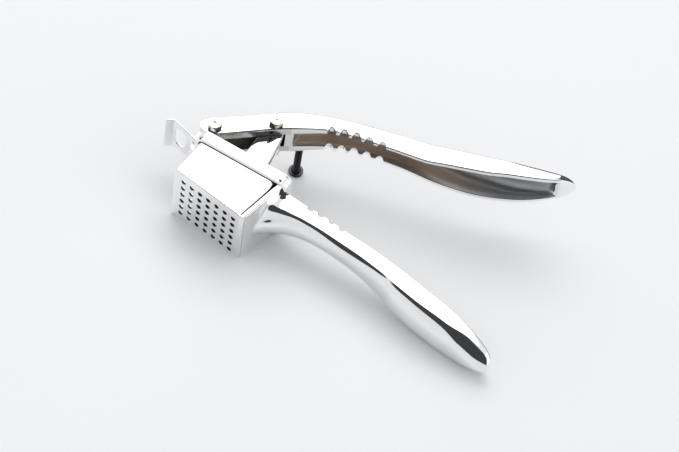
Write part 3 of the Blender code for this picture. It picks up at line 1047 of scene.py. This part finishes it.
# ------------------------------------------------------------------ press lever
@dataclass
class PressLever:
    """The upper lever with its forked head, notched cheeks and hollow handle."""

    slot_half: float = 5.3
    fork_end: float = 1.5
    channel: Channel = Channel(5.86, 18.05, 0.3, 0.5)
    rounding: tuple[tuple[float, float, float], ...] = (
        (0.0, 2.6, 0.34), (15.0, 3.0, 0.36), (18.0, 3.6, 0.45), (20.0, 4.0, 0.6))
    notches: tuple[Notch, ...] = (
        Notch((16.6, 80.3), 8.6, 35.0), Notch((22.2, 83.8), 8.15, 32.0),
        Notch((28.0, 86.9), 7.75, 28.0), Notch((34.4, 89.5), 7.35, 24.0),
        Notch((41.1, 91.9), 7.0, 21.0))
    stations: tuple[tuple[float, ...], ...] = (
        (-34.2, 34.8, -35.6, 36.2, 10.0, 5.4, 6.0),
        (-31.4, 33.6, -37.6, 39.6, 10.0, 5.4, 6.0),
        (-28.0, 34.0, -37.4, 43.0, 10.0, 5.4, 6.0),
        (-25.0, 36.4, -36.2, 46.8, 10.0, 5.4, 8.0),
        (-15.6, 47.2, -26.2, 57.4, 10.0, 5.4, 8.0),
        (-4.2, 60.4, -14.6, 70.4, 10.0, 5.4, 8.0),
        (3.5, 68.1, -5.6, 79.2, 10.0, 5.4, 8.4),
        (14.6, 78.6, 7.2, 88.3, 8.8, 5.6, 9.2),
        (26.3, 85.4, 20.9, 96.2, 8.0, 5.5, 9.4),
        (39.4, 91.0, 34.5, 103.6, 7.0, 5.2, 10.6),
        (52.9, 95.7, 47.6, 109.8, 7.2, 5.4, 12.0),
        (64.0, 99.0, 58.3, 113.6, 8.1, 6.2, 12.6),
        (72.3, 102.3, 66.1, 116.4, 9.8, 7.6, 12.4),
        (85.2, 108.3, 78.8, 121.1, 11.4, 9.0, 11.4),
        (94.4, 113.4, 87.7, 125.1, 11.8, 9.4, 10.6),
        (102.0, 118.7, 95.8, 128.6, 12.1, 9.6, 9.0),
        (109.6, 124.2, 104.0, 132.6, 11.5, 9.0, 7.4),
        (117.2, 130.7, 112.4, 137.4, 10.1, 7.6, 5.6),
        (123.6, 137.4, 120.3, 141.9, 8.1, 6.0, 3.2),
        (127.0, 141.3, 124.7, 144.2, 6.1, 4.0, 1.2),
        (129.0, 143.6, 127.9, 145.1, 3.8, 2.4, 0.8),
        (129.8, 144.6, 129.5, 145.2, 1.3, 0.8, 0.4))
    fork: tuple[Point, ...] = (
        (-12.5, 68.8), (-24.1, 55.9), (-34.0, 45.5), (-49.2, 39.4), (-35.2, 25.2), (-22.2, 33.6),
        (-12.8, 44.4), (-1.4, 57.6), (0.9, 62.3))
    boss_clearance: float = 5.75
    through: Point = (-14.0, 14.0)
    screw_hole_top: float = -6.6
    witness: tuple[float, float, float] = (-5.6, 58.2, 7.6)

    def build(self) -> None:
        """Model the lever and set it in place."""
        handle = Handle("press_lever_casting", self.stations, self.channel, self.rounding,
                        self.fork_end)
        lever = handle.build()
        outline = list(self.fork) + arc(PLUNGER_PIN, self.boss_clearance, 11.7, 130.0, 14)
        fork = Bench.slab("fork", outline, -self.slot_half, self.slot_half)
        Bench.boolean(lever, fork, Cut.REMOVE)
        for notch in self.notches:
            Bench.boolean(lever, notch.cutter(), Cut.REMOVE)
        low, high = self.through
        bores = ((HINGE, high), (PLUNGER_PIN, high), (SideScrew.axis, self.screw_hole_top))
        for centre, top in bores:
            Bench.drill(lever, centre, [(M4_CLEARANCE, low), (M4_CLEARANCE, top)])
        Bench.boolean(lever, self.witness_hole(), Cut.REMOVE)
        # Painted shade in the channel, the fork and the head's front face.
        paint_recess(lever, handle)
        Bench.deliver(lever, Body.PRESS, Slot.CHROME, CHROME, ["press_lever"])

    def witness_hole(self) -> bpy.types.Object:
        """Return the small blind hole in the near cheek's front edge, beside the plunger's pin."""
        tool = Bench.turned("witness", MIDDLE, [(1.0, -4.0), (1.0, 1.6), (0.3, 2.2)], 24)
        tool.data.transform(plane(self.witness, (0.0, 0.0, 1.0), (-0.71, -0.70, 0.0)))
        return tool


# ------------------------------------------------------------------ cup lever
@dataclass(frozen=True)
class Collar:
    """The collar round the mouth, which lies on a tilted plane.

    Attributes:
        tilt: the plane's tilt along X, in radians.
        base: the height of the collar's lower face above the sieve's floor.
        height: the collar's thickness.
        outer: its outline, which the sieve's flange repeats.
        opening: its opening.
    """

    tilt: float = math.radians(7.75)
    base: float = 24.6
    height: float = 5.6
    outer: Box = (-27.6, 27.4, 22.0, 5.5)
    opening: Box = (-25.3, 22.1, 20.6, 3.2)

    def at(self, u: float, rise: float, z: float) -> Vector:
        """Return the point at a distance along the collar, a height above its base and a z."""
        along, up = math.cos(self.tilt), math.sin(self.tilt)
        return Vector((u * along - rise * up, self.base + u * up + rise * along, z))

    def ring(self, box: Box, inset: float, rise: float) -> Ring:
        """Return a rounded rectangle, drawn in all round, at a height above the collar's base."""
        return [self.at(u, rise, z) for u, z in inset_box(box, inset)]


@dataclass
class CupLever:
    """The lower lever: a rounded collar, an end wall, the hinge lug and a hollow handle."""

    collar: Collar = Collar()
    lug_half: float = 5.0
    channel: Channel = Channel(4.3, 14.4, 0.35, 0.6)
    rounding: tuple[tuple[float, float, float], ...] = (
        (0.0, 5.2, 0.52), (2.0, 5.0, 0.50), (3.6, 3.2, 0.42), (5.0, 1.9, 0.36), (6.0, 1.9, 0.34),
        (7.5, 3.2, 0.35), (9.0, 3.6, 0.37), (11.0, 2.8, 0.37), (12.2, 3.4, 0.42), (13.6, 7.4, 0.62),
        (17.0, 8.4, 0.8))
    notches: tuple[Notch, ...] = (
        Notch((39.2, 35.4), 8.6, 190.0), Notch((45.4, 36.4), 7.9, 188.0),
        Notch((51.7, 36.9), 7.5, 184.0), Notch((58.0, 37.3), 7.1, 182.0))
    reliefs: tuple[Point, ...] = ((21.9, 29.2), (-24.4, 22.6))
    relief_radius: float = 0.9
    stations: tuple[tuple[float, ...], ...] = (
        (22.4, 30.6, 22.4, 6.4, 14.2, 6.4, 9.0),
        (23.3, 31.4, 23.3, 8.6, 12.9, 6.4, 9.0),
        (24.8, 32.2, 24.8, 11.0, 11.9, 6.4, 9.0),
        (27.0, 33.0, 27.0, 13.6, 11.1, 6.4, 9.0),
        (31.0, 33.9, 31.0, 17.2, 10.1, 6.4, 10.0),
        (37.0, 34.8, 37.0, 21.0, 9.0, 6.2, 10.4),
        (46.0, 36.5, 46.0, 23.9, 7.8, 5.6, 9.4),
        (60.0, 37.4, 60.0, 26.0, 7.0, 5.1, 8.4),
        (76.0, 38.0, 76.0, 26.4, 7.6, 5.6, 8.6),
        (90.0, 37.0, 90.0, 25.2, 9.4, 7.2, 9.0),
        (101.0, 35.9, 101.0, 22.4, 10.8, 8.6, 10.0),
        (113.0, 34.8, 113.0, 20.6, 11.6, 9.2, 10.4),
        (128.0, 33.9, 128.0, 19.8, 11.8, 9.2, 10.4),
        (140.0, 32.4, 140.0, 19.9, 10.8, 8.2, 8.8),
        (149.0, 31.2, 149.0, 20.0, 9.0, 6.4, 7.6),
        (156.0, 29.6, 156.0, 20.4, 7.0, 4.4, 5.0),
        (159.4, 28.0, 159.4, 21.4, 5.0, 3.0, 2.0),
        (160.9, 26.4, 160.9, 22.7, 3.0, 1.6, 1.0),
        (161.3, 25.3, 161.3, 23.7, 1.4, 0.8, 0.4))

    def build(self) -> None:
        """Model the lever and set it in place."""
        handle = Handle("cup_lever_casting", self.stations, self.channel, self.rounding)
        lever = handle.build()
        for solid in (self.end_wall, self.rim, self.lug):
            Bench.boolean(lever, solid(), Cut.ADD)
        for notch in self.notches:
            Bench.boolean(lever, notch.cutter(), Cut.REMOVE)
        for side in (-21.0, 21.0):
            for corner in self.reliefs:
                profile = [(self.relief_radius, side - 3.0), (self.relief_radius, side + 3.0)]
                Bench.drill(lever, corner, profile, 20)
        Bench.drill(lever, HINGE, [(M4_CLEARANCE, -8.0), (M4_CLEARANCE, 8.0)])
        # Painted shade in the channel.
        paint_recess(lever, handle)
        Bench.deliver(lever, Body.CUP, Slot.CHROME, CHROME, ["cup_lever"])

    def rim(self) -> bpy.types.Object:
        """Return the collar, with a chamfer on its lower outer edge."""
        profile = ((1.2, 0.0), (0.0, 0.66), (0.0, 5.48), (0.12, 5.6))
        rings = [self.collar.ring(self.collar.outer, inset, rise) for inset, rise in profile]
        rings += [self.collar.ring(self.collar.opening, 0.0, rise)
                  for rise in (self.collar.height, 0.0)]
        return Bench.loft("rim", rings, closed=True)

    def end_wall(self) -> bpy.types.Object:
        """Return the wall beside the sieve that hangs from the collar."""
        rings = []
        levels = ((1.16, 19.5, 0.0), (1.3, 19.7, 0.0), (30.0, 20.3, math.tan(self.collar.tilt)))
        for y, half, slope in levels:
            inner, outer = 19.75 + 0.06 * y, 22.6 + 0.07 * y
            outline = rounded_box(inner, outer, -half, half, 1.0, 4)
            rings.append([Vector((x, y + (x - inner) * slope, z)) for x, z in outline])
        return Bench.loft("end_wall", rings)

    def lug(self) -> bpy.types.Object:
        """Return the lug that takes the hinge bolt."""
        outline: list[Point] = [(-26.9, 21.4), (-26.9, 29.4), (-24.6, 34.4)]
        outline += arc(HINGE, 5.8, -35.0, 180.0, 24)
        outline += [(-34.6, 31.0), (-32.2, 24.4)]
        lug = Bench.slab("lug", outline, -self.lug_half, self.lug_half)
        Bench.soften(lug, 0.5, 50.0)
        return lug


# ------------------------------------------------------------------ sieve
@dataclass
class SieveInsert(Recess):
    """The sheet-metal sieve: drafted box, punched floor, rim flange, tab and finger lip."""

    collar: Collar = Collar()
    columns: int = 7
    rows: int = 6
    pitch: float = 5.4
    hole: float = 1.3
    floor: float = 1.1
    wall: float = 1.0
    half: float = 19.7
    foot_right: float = 22.7
    flange: float = 1.0
    flange_gap: float = 0.04
    tab_start: Point = (-24.6, 27.55)
    tab_end: Point = (-46.5, 28.3)
    tab_half: Point = (8.6, 11.2)
    tab_step: float = 10.4
    sheet_half: float = 0.5
    lug_slot: Box = (1.9, 10.6, 5.3, 0.6)
    finger_hole: Box = (13.0, 20.2, 6.2, 2.8)
    inside: tuple[float, float, float] = (18.7, 22.0, 18.75)

    def ring(self, y: float, slope: float, inset: float, corner: float) -> Ring:
        """Return the drafted outline of the box on a plane that may rise along X.

        Args:
            y: the plane's height at the middle of the sieve.
            slope: how steeply it rises.
            inset: how far the outline is drawn in.
            corner: the corners' radius.

        Returns:
            The outline's points.
        """
        left, right = -22.4 - 0.086 * y + inset, 19.4 + 0.038 * y - inset
        half = self.half + 0.018 * y - inset
        outline = rounded_box(left, right, -half, half, corner)
        return [Vector((x, y + slope * x, z)) for x, z in outline]

    def build(self) -> None:
        """Model the sieve and set it in place."""
        slope = math.tan(self.collar.tilt)
        middle = self.collar.height + self.flange_gap + self.flange / 2
        rim_y = self.collar.base + middle / math.cos(self.collar.tilt)
        levels = ((0.0, 0.0, 0.3, 1.2), (0.08, 0.0, 0.1, 1.3), (0.3, 0.0, 0.0, 1.4),
                  (0.6, 0.0, 0.0, 1.42), (rim_y, slope, 0.0, 3.0))
        sieve = Bench.loft("sieve_box", [self.ring(*level) for level in levels])
        for solid in (self.foot, self.rim, self.tab):
            Bench.boolean(sieve, solid(), Cut.ADD)
        inside = Bench.loft("inside", [self.ring(self.floor, 0.0, self.wall, 1.0),
                                       self.ring(rim_y + 3.0, slope, self.wall, 2.0)])
        Bench.boolean(sieve, inside, Cut.REMOVE)
        for solid in (self.tab_cutouts, self.punches):
            Bench.boolean(sieve, solid(), Cut.REMOVE)
        # Painted shade inside the box and its holes.
        paint_recess(sieve, self)
        Bench.deliver(sieve, Body.CUP, Slot.SIEVE_STEEL, SIEVE_STEEL, ["sieve_insert"])

    def foot(self) -> bpy.types.Object:
        """Return the floor's edge that laps under the casting's end wall."""
        outline = rounded_box(10.0, self.foot_right, -self.half + 0.02, self.half - 0.02, 1.4)
        foot = Bench.slab("foot", outline, -self.floor / 2, self.floor / 2,
                          plane((0.0, self.floor / 2, 0.0), (1, 0, 0), (0, 0, 1)))
        Bench.soften(foot, 0.12, 50.0)
        return foot

    def rim(self) -> bpy.types.Object:
        """Return the flange that lies on the collar."""
        start = self.collar.height + self.flange_gap
        profile = ((0.07, 0.0), (0.02, 0.03), (0.0, 0.1), (0.0, 0.86), (0.05, 0.95), (0.16, 1.0))
        return Bench.loft("flange", [
            self.collar.ring(self.collar.outer, inset, start + height * self.flange)
            for inset, height in profile])

    def tab_plane(self) -> Matrix:
        """Return the plane of the tab."""
        along = Vector(self.tab_end) - Vector(self.tab_start)
        return plane((*self.tab_start, 0.0), (*along, 0.0), (0, 0, 1))

    def tab(self) -> bpy.types.Object:
        """Return the tab with its bent lip."""
        length = (Vector(self.tab_end) - Vector(self.tab_start)).length
        narrow, wide = self.tab_half
        step, thick = self.tab_step, self.sheet_half
        outline: list[Point] = [(0.0, -narrow), (step, -narrow)]
        outline += arc((step, -9.6), 1.0, 90.0, 20.0, 3) + [(length, -wide), (length, wide)]
        outline += arc((step, 9.6), 1.0, -20.0, -90.0, 3) + [(0.0, narrow)]
        tab = Bench.slab("tab", outline, -thick, thick, self.tab_plane())
        Bench.soften(tab, 0.22, 50.0)
        end_x, end_y = self.tab_end
        lip = Bench.slab("lip", rounded_box(-0.6, 4.4, -wide, wide, 0.8), -thick, thick,
                         plane((end_x + 0.2, end_y, 0.0), (-0.72, -0.70, 0), (0, 0, 1)))
        Bench.soften(lip, 0.22, 50.0)
        return Bench.boolean(tab, lip, Cut.ADD)

    def tab_cutouts(self) -> bpy.types.Object:
        """Return the slot for the hinge lug and the finger hole, flared on both faces."""
        place = self.tab_plane()
        slot = Bench.slab("lug_slot", inset_box(self.lug_slot), -3.0, 3.0, place)
        profile = ((0.6, -0.75), (0.05, -0.25), (0.0, 0.0), (0.05, 0.25), (0.6, 0.75))
        rings = [[place @ Vector((x, y, height)) for x, y in inset_box(self.finger_hole, -grow)]
                 for grow, height in profile]
        return Bench.join("tab_cutouts", [slot, Bench.loft("finger_hole", rings)])

    def centres(self) -> list[Point]:
        """Return the hole centres on the floor."""
        left, low = (self.columns - 1) / 2, (self.rows - 1) / 2
        return [((column - left) * self.pitch, (row - low) * self.pitch)
                for column in range(self.columns) for row in range(self.rows)]

    def punches(self) -> bpy.types.Object:
        """Return the punches, each flared where the sheet rolls into the hole."""
        flared = [(self.hole + 0.5, -0.3), (self.hole + 0.12, 0.08), (self.hole + 0.08, 0.3),
                  (self.hole, 1.6)]
        tool = Bench.turned("punch", MIDDLE, flared, 24)
        tool.data.transform(Matrix.Rotation(math.radians(-90.0), 4, "X"))
        tools = []
        for x, z in self.centres():
            copy = bpy.data.objects.new("punch", tool.data.copy())
            bpy.context.scene.collection.objects.link(copy)
            Bench.shift(copy, (x, 0.0, z))
            tools.append(copy)
        bpy.data.objects.remove(tool, do_unlink=True)
        return Bench.join("punches", tools)

    def holds(self, centre: Vector) -> bool:
        """Tell whether a face lies in a hole or on the box's inside, where shade is painted."""
        width, height, depth = self.inside
        return 0.05 < centre.y < height and abs(centre.x) < width and abs(centre.z) < depth

    def depth(self, point: Vector) -> float:
        """Return how deep a point lies in a hole or inside the box, for its painted shade."""
        return 0.35 + 0.65 * ease(point.y, 0.05, 0.35)


# ------------------------------------------------------------------ plunger
@dataclass
class Plunger:
    """The plunger: a pressing plate, a waisted neck and the boss on its pin.

    It is drawn about its pin as it stands in the closed press, then turned to its rest place.
    """

    closed_turn: float = -32.0
    rest_turn: float = 16.0
    plate_middle: float = -2.5
    plate_floor: float = 2.0
    plate_half: Point = (17.6, 17.9)
    neck_half: float = 5.0
    boss: float = 5.2

    def build(self) -> None:
        """Model the plunger and set it in place."""
        arm = Vector(PLUNGER_PIN) - Vector(HINGE)
        pin = Vector(HINGE) + Matrix.Rotation(math.radians(self.closed_turn), 2) @ arm
        base = Vector((self.plate_middle, self.plate_floor)) - pin
        plunger = self.plate(base)
        Bench.boolean(plunger, self.neck(base.y), Cut.ADD)
        Bench.drill(plunger, MIDDLE, [(M4_CLEARANCE, -8.0), (M4_CLEARANCE, 8.0)])
        Bench.turn(plunger, self.rest_turn)
        Bench.shift(plunger, (*PLUNGER_PIN, 0.0))
        Bench.deliver(plunger, Body.PLUNGER, Slot.CHROME, CHROME, ["plunger"])

    def plate(self, base: Vector) -> bpy.types.Object:
        """Return the pressing plate with rounded edges.

        Args:
            base: the middle of the plate's face, from the pin.

        Returns:
            The new object.
        """
        length, width = self.plate_half
        profile = ((0.5, 0.0), (0.1, 0.25), (0.0, 0.7), (0.0, 2.8), (0.15, 3.3), (0.6, 3.5))
        rings = []
        for inset, height in profile:
            across, deep = length - inset, width - inset
            outline = rounded_box(-across, across, -deep, deep, 2.0)
            rings.append([Vector((base.x + x, base.y + height, z)) for x, z in outline])
        return Bench.loft("plunger_casting", rings)

    def neck(self, floor: float) -> bpy.types.Object:
        """Return the neck and the boss, with softened edges.

        Args:
            floor: the height of the plate's face, from the pin.

        Returns:
            The new object.
        """
        outline: list[Point] = [(5.0, -2.0)] + arc((0.0, 0.0), self.boss, -10.0, 190.0, 24)
        outline += [(-6.0, -6.0), (-6.7, -12.0), (-7.6, -20.0), (-9.2, -29.0), (-11.5, floor + 5.0),
                    (-14.0, floor + 2.0), (6.5, floor + 2.0), (4.8, floor + 5.0)]
        neck = Bench.slab("neck", outline, -self.neck_half, self.neck_half)
        Bench.soften(neck, 0.45, 35.0)
        return neck


# ------------------------------------------------------------------ hardware
@dataclass
class HexBolt:
    """An M4 hexagon bolt with a chamfered head, and its washer and nut on the far cheek.

    Attributes:
        name: which bolt it is.
        axis: its place.
        dimple: the radius of the dish in the head's top.
        turn: how far the hexagons are turned, in radians.
        corner: the radius of the hexagons' corners.
        chamfer: the height over which the corners are turned down.
        seat: the height of the head's lower face, and of the washer's upper one below zero.
        head: the head's height.
        shank: the shank's radius.
        washer: the washer's radius and thickness.
        nut: the nut's height.
        slack: the gap between washer and nut, and round the shank in the washer.
        tail: how far the shank stands out of the nut.
    """

    name: str
    axis: Point
    dimple: float
    turn: float
    corner: float = 4.04
    chamfer: float = 0.45
    seat: float = 10.3
    head: float = 2.7
    shank: float = 2.0
    washer: Point = (4.6, 0.8)
    nut: float = 3.2
    slack: float = 0.3
    tail: float = 0.9

    def build(self) -> None:
        """Model the bolt, washer and nut and set them in place."""
        self.build_bolt()
        self.build_washer()
        self.build_nut()

    def finish(self, obj: bpy.types.Object, part: str) -> None:
        """Deliver one part in nickel, in place of the CAD node of the same name."""
        Bench.deliver(obj, Body.PRESS, Slot.NICKEL, NICKEL, [f"{self.name}_{part}"])

    def build_bolt(self) -> None:
        """Model the head, with a shallow dish in its top, and the shank."""
        top = self.seat + self.head
        bolt = self.hexagon("bolt", self.seat, top, False)
        Bench.drill(bolt, self.axis, [(self.dimple * 0.3, top - 0.4), (self.dimple, top - 0.12),
                                      (self.dimple + 0.1, top + 0.2)])
        end = -(self.seat + self.washer[1] + self.slack + self.nut + self.tail)
        stem = Bench.turned("stem", self.axis, [(self.shank - 0.5, end), (self.shank, end + 0.5),
                                                (self.shank, self.seat + 1.0)], 40)
        Bench.boolean(bolt, stem, Cut.ADD)
        self.finish(bolt, "bolt")

    def build_washer(self) -> None:
        """Model the washer under the far cheek."""
        radius, thick = self.washer
        edge = 0.15
        top = -self.seat
        profile = [(radius - edge, top), (radius, top - edge), (radius, top - thick + edge),
                   (radius - edge, top - thick)]
        washer = Bench.turned(self.name + "_washer_ring", self.axis, profile)
        hole = self.shank + self.slack
        Bench.drill(washer, self.axis, [(hole, top - 3.0), (hole, top + 2.0)], 40)
        self.finish(washer, "washer")

    def build_nut(self) -> None:
        """Model the nut, with its hole countersunk at both ends."""
        top = -(self.seat + self.washer[1] + self.slack)
        low = top - self.nut
        nut = self.hexagon("nut", low, top, True)
        Bench.drill(nut, self.axis, [(2.9, low - 0.01), (M4_CLEARANCE, low + 0.6),
                                     (M4_CLEARANCE, top - 0.6), (2.9, top + 0.01)], 40)
        self.finish(nut, "nut")

    def hexagon(self, part: str, low: float, high: float, both: bool) -> bpy.types.Object:
        """Return a hexagon whose corners are turned down.

        Args:
            part: which part of the set it is.
            low: the height of its lower face.
            high: the height of its upper face.
            both: turn the corners down at the lower end too.

        Returns:
            The new object.
        """
        ends = [(self.corner, low), (self.corner, high)]
        prism = Bench.turned(f"{self.name}_{part}_hex", self.axis, ends, 6, self.turn)
        flat = self.corner * math.cos(math.radians(30.0)) - 0.05
        wide = self.corner + 0.1
        profile = [(flat, low), (wide, low + self.chamfer)] if both else [(wide, low)]
        profile += [(wide, high - self.chamfer), (flat, high)]
        blank = Bench.turned("blank", self.axis, profile, 64)
        return Bench.boolean(prism, blank, Cut.KEEP_COMMON)


@dataclass
class SideScrew(Recess):
    """The black M4 pan-head screw that stands out of the far cheek, head down.

    Attributes:
        axis: its place.
        bearing: the height of the face under its head.
        length: the length of the shank.
        pitch: the thread's pitch.
        crest: the thread's outer radius.
        root: the thread's inner radius.
        head: the head's radius and height pairs above its lowest face.
        ring: the raised ring under the head, as radius and depth pairs.
        head_height: the head's height.
        sides: the number of sides of the thread.
        blade: the size of each blade of the driver's cross.
    """

    axis: Point = (3.4, 73.2)
    bearing: float = -32.0
    length: float = 25.0
    pitch: float = 0.7
    crest: float = 1.98
    root: float = 1.62
    head: tuple[Point, ...] = ((1.4, 0.0), (2.9, 0.04), (3.55, 0.45), (3.9, 1.1), (4.0, 1.7))
    ring: tuple[Point, ...] = (
        (3.95, 0.12), (3.7, 0.0), (3.0, 0.02), (2.85, 0.16), (2.5, 0.16), (2.4, 0.02), (1.5, 0.02))
    head_height: float = 2.4
    sides: int = 28
    blade: Box = (-1.9, 1.9, 0.42, 0.2)

    def build(self) -> None:
        """Model the screw and set it in place."""
        screw = self.thread()
        low = self.bearing - self.head_height
        profile = [(radius, low + height) for radius, height in self.head]
        profile += [(radius, self.bearing - height) for radius, height in self.ring]
        Bench.boolean(screw, Bench.turned("head", self.axis, profile, 56), Cut.ADD)
        left, right, half, corner = self.blade
        for turn in (20.0, 110.0):
            outline = rounded_box(left, right, -half, half, corner, 3)
            blade = Bench.slab("blade", outline, low - 1.0, low + 1.2)
            Bench.turn(blade, turn)
            Bench.shift(blade, (*self.axis, 0.0))
            Bench.boolean(screw, blade, Cut.REMOVE)
        paint_recess(screw, self)
        Bench.deliver(screw, Body.PRESS, Slot.BLACK_SCREW, BLACK_OXIDE, ["side_screw"], angle=28.0)

    def thread(self) -> bpy.types.Object:
        """Return the threaded shank, ridge by ridge, which runs out to a plain end."""
        start, end = self.bearing - 1.0, self.bearing + self.length
        count = int((end - start) / (self.pitch / 7.0))
        rings = []
        for index in range(count + 1):
            height = start + (end - start) * index / count
            fade = ease(end - height, 0.0, 0.8)
            ring = []
            for side in range(self.sides):
                phase = (height / self.pitch - side / self.sides) % 1.0
                ridge = ease(1.0 - abs(2.0 * phase - 1.0), 0.1, 0.9)
                radius = self.root + (self.crest - self.root) * ridge * fade - 0.3 * (1.0 - fade)
                ring.append(around(self.axis, radius, 2.0 * math.pi * side / self.sides, height))
            rings.append(ring)
        return Bench.loft("side_screw_thread", rings)

    def depth(self, point: Vector) -> float:
        """Return the wear of a point: crests and the bearing ring are rubbed lighter.

        Args:
            point: a point on the screw.

        Returns:
            The wear, from 0 to 1.
        """
        radius = math.hypot(point.x - self.axis[0], point.y - self.axis[1])
        if point.z > self.bearing + 0.1:
            return 0.55 * ease(radius, 1.8, self.crest)
        ring = ease(radius, 2.7, 3.0) * (1.0 - ease(radius, 3.6, 3.8))
        return 0.8 * ring if point.z > self.bearing - 0.1 else 0.1


# ------------------------------------------------------------------ studio
@dataclass
class Studio:
    """The floor the press lies on, the light round it and the camera.

    Attributes:
        contacts: three points that the press rests on, in the row's frame, in metres.
        eye: the camera's place, in millimetres in the sieve's frame.
        right: the direction to the right of the view.
        up: the direction to the top of the view.
        back: the direction from the press to the camera.
        lens: the focal length, in millimetres on a 36 mm frame.
        card_angle: half the angle that the dark card covers, in radians.
        card_distance: how far the card hangs from the press, in metres.
        floor_size: the floor's side, in metres.
        softbox: the soft light's width and height, in metres.
        softbox_radiance: the soft light's brightness.
        softbox_place: the direction of the soft light.
        softbox_distance: how far it hangs from the press, in metres.
        dark_side: the direction of the dome's dark patch, low behind the press.
        bright_side: the direction of the dome's bright side, on the press's right.
    """

    contacts: tuple[Vector, Vector, Vector] = (
        Vector((-0.0523, 0.0006, 0.0)), Vector((0.082, -0.047, 0.0236)),
        Vector((-0.078, -0.0726, 0.0147)))
    eye: tuple[float, float, float] = (390.68, -567.72, 1002.01)
    right: tuple[float, float, float] = (0.77754, 0.61833, 0.11444)
    up: tuple[float, float, float] = (-0.56493, 0.60693, 0.55901)
    back: tuple[float, float, float] = (0.27619, -0.49931, 0.82122)
    lens: float = 127.24
    card_angle: float = math.radians(54.0)
    card_distance: float = 2.5
    floor_size: float = 16.0
    softbox: Point = (2.2, 1.7)
    softbox_radiance: float = 1.12
    softbox_place: tuple[float, float, float] = (-0.33, 0.56, 0.76)
    softbox_distance: float = 1.9
    dark_side: tuple[float, float, float] = (0.20, 0.96, 0.12)
    bright_side: tuple[float, float, float] = (0.93, 0.15, 0.1)

    def floor_normal(self) -> Vector:
        """Return the direction away from the floor."""
        first, second, third = self.contacts
        normal = (second - first).cross(third - first).normalized()
        return normal if normal.z > 0.0 else -normal

    def build(self) -> None:
        """Set up floor, light and camera."""
        self.floor()
        self.surroundings()
        self.card()
        self.lights()
        self.camera()
        view = bpy.context.scene.view_settings
        view.view_transform = "Standard"
        view.look = "None"

    def floor(self) -> None:
        """Lay a plain pale floor under the press."""
        Bench.clear()
        bpy.ops.mesh.primitive_plane_add(size=self.floor_size)
        floor = bpy.context.object
        floor.name = "floor"
        floor.matrix_world = facing(self.contacts[0], self.floor_normal())
        material, graph = blank_material("pale_floor")
        cloud = graph.noise(graph.place(), 1.4, 1.0)
        tone = graph.blend(cloud, (0.865, 0.87, 0.88, 1.0), (0.88, 0.885, 0.89, 1.0))
        graph.surface({"Base Color": tone, "Roughness": 0.6})
        floor.data.materials.append(material)

    def surroundings(self) -> None:
        """Make a pale dome that is dark low behind the press and brighter on its right."""
        world = bpy.data.worlds.new("studio_dome")
        bpy.context.scene.world = world
        world.use_nodes = True
        graph = Graph(world.node_tree)
        ray = graph.node("ShaderNodeTexCoord", {}, {}).out("Generated")
        dark = self.toward(graph, ray, self.dark_side).between(0.80, 0.83)
        bright = self.toward(graph, ray, self.bright_side).between(0.6, 0.7)
        tone = graph.blend(bright, (0.83, 0.835, 0.845, 1.0), (1.15, 1.15, 1.15, 1.0))
        tone = graph.blend(dark, tone, (0.10, 0.105, 0.115, 1.0))
        background = graph.node("ShaderNodeBackground", {}, {"Color": tone, "Strength": 1.0})
        output = graph.tree.nodes.new("ShaderNodeOutputWorld")
        graph.tree.links.new(background.out("Background").socket, output.inputs["Surface"])

    def toward(self, graph: Graph, ray: Signal, direction: Sequence[float]) -> Signal:
        """Return how much a ray leans towards a direction.

        Args:
            graph: the dome's graph.
            ray: the ray's direction.
            direction: the direction to compare it with.

        Returns:
            The cosine of the angle between them.
        """
        product = graph.node("ShaderNodeVectorMath", {"operation": "DOT_PRODUCT"}, {"Vector": ray})
        product.node.inputs[1].default_value = Vector(direction).normalized()
        return product.out("Value")

    def card(self) -> None:
        """Hang a dark card behind the camera that only shows in the polish."""
        Bench.clear()
        radius = self.card_distance * math.tan(self.card_angle)
        bpy.ops.mesh.primitive_circle_add(vertices=96, radius=radius, fill_type="NGON")
        card = bpy.context.object
        card.name = "dark_card"
        back = Vector(self.back)
        card.matrix_world = facing(back * self.card_distance, back)
        card.visible_diffuse = False
        card.visible_shadow = False
        card.visible_camera = False
        material, graph = blank_material("dark_card")
        cloud = graph.noise(graph.place(), 1.5, 1.0)
        glow = graph.blend(cloud, (0.038, 0.043, 0.048, 1.0), (0.055, 0.06, 0.067, 1.0))
        graph.surface({"Base Color": (0.0, 0.0, 0.0, 1.0), "Roughness": 1.0,
                       "Specular IOR Level": 0.0, "Emission Color": glow, "Emission Strength": 1.0})
        card.data.materials.append(material)

    def lights(self) -> None:
        """Hang one large soft light above and behind the press."""
        light = bpy.data.lights.new("overhead_softbox", "AREA")
        light.shape = "RECTANGLE"
        light.size, light.size_y = self.softbox
        light.energy = self.softbox_radiance * math.pi * light.size * light.size_y
        holder = bpy.data.objects.new("overhead_softbox", light)
        bpy.context.scene.collection.objects.link(holder)
        aim = Vector(self.softbox_place).normalized() * self.softbox_distance
        holder.location = aim
        holder.rotation_euler = aim.to_track_quat("Z", "Y").to_euler()

    def camera(self) -> None:
        """Place the camera."""
        data = bpy.data.cameras.new("camera")
        data.lens = self.lens
        data.sensor_width = 36.0
        data.clip_end = 20.0
        camera = bpy.data.objects.new("camera", data)
        bpy.context.scene.collection.objects.link(camera)
        matrix = Matrix((self.right, self.up, self.back)).transposed().to_4x4()
        matrix.translation = Vector(self.eye) * MM + row_offset()
        camera.matrix_world = matrix
        bpy.context.scene.camera = camera


def main() -> None:
    """Build every piece and the studio."""
    logging.basicConfig(level=logging.INFO)
    builders = (
        Studio(), CupLever(), SieveInsert(), PressLever(), Plunger(),
        HexBolt("hinge", HINGE, 0.9, 0.3), HexBolt("plunger", PLUNGER_PIN, 0.5, 0.05), SideScrew())
    for builder in builders:
        builder.build()
    Bench.clear()


if __name__ == "__main__":
    main()
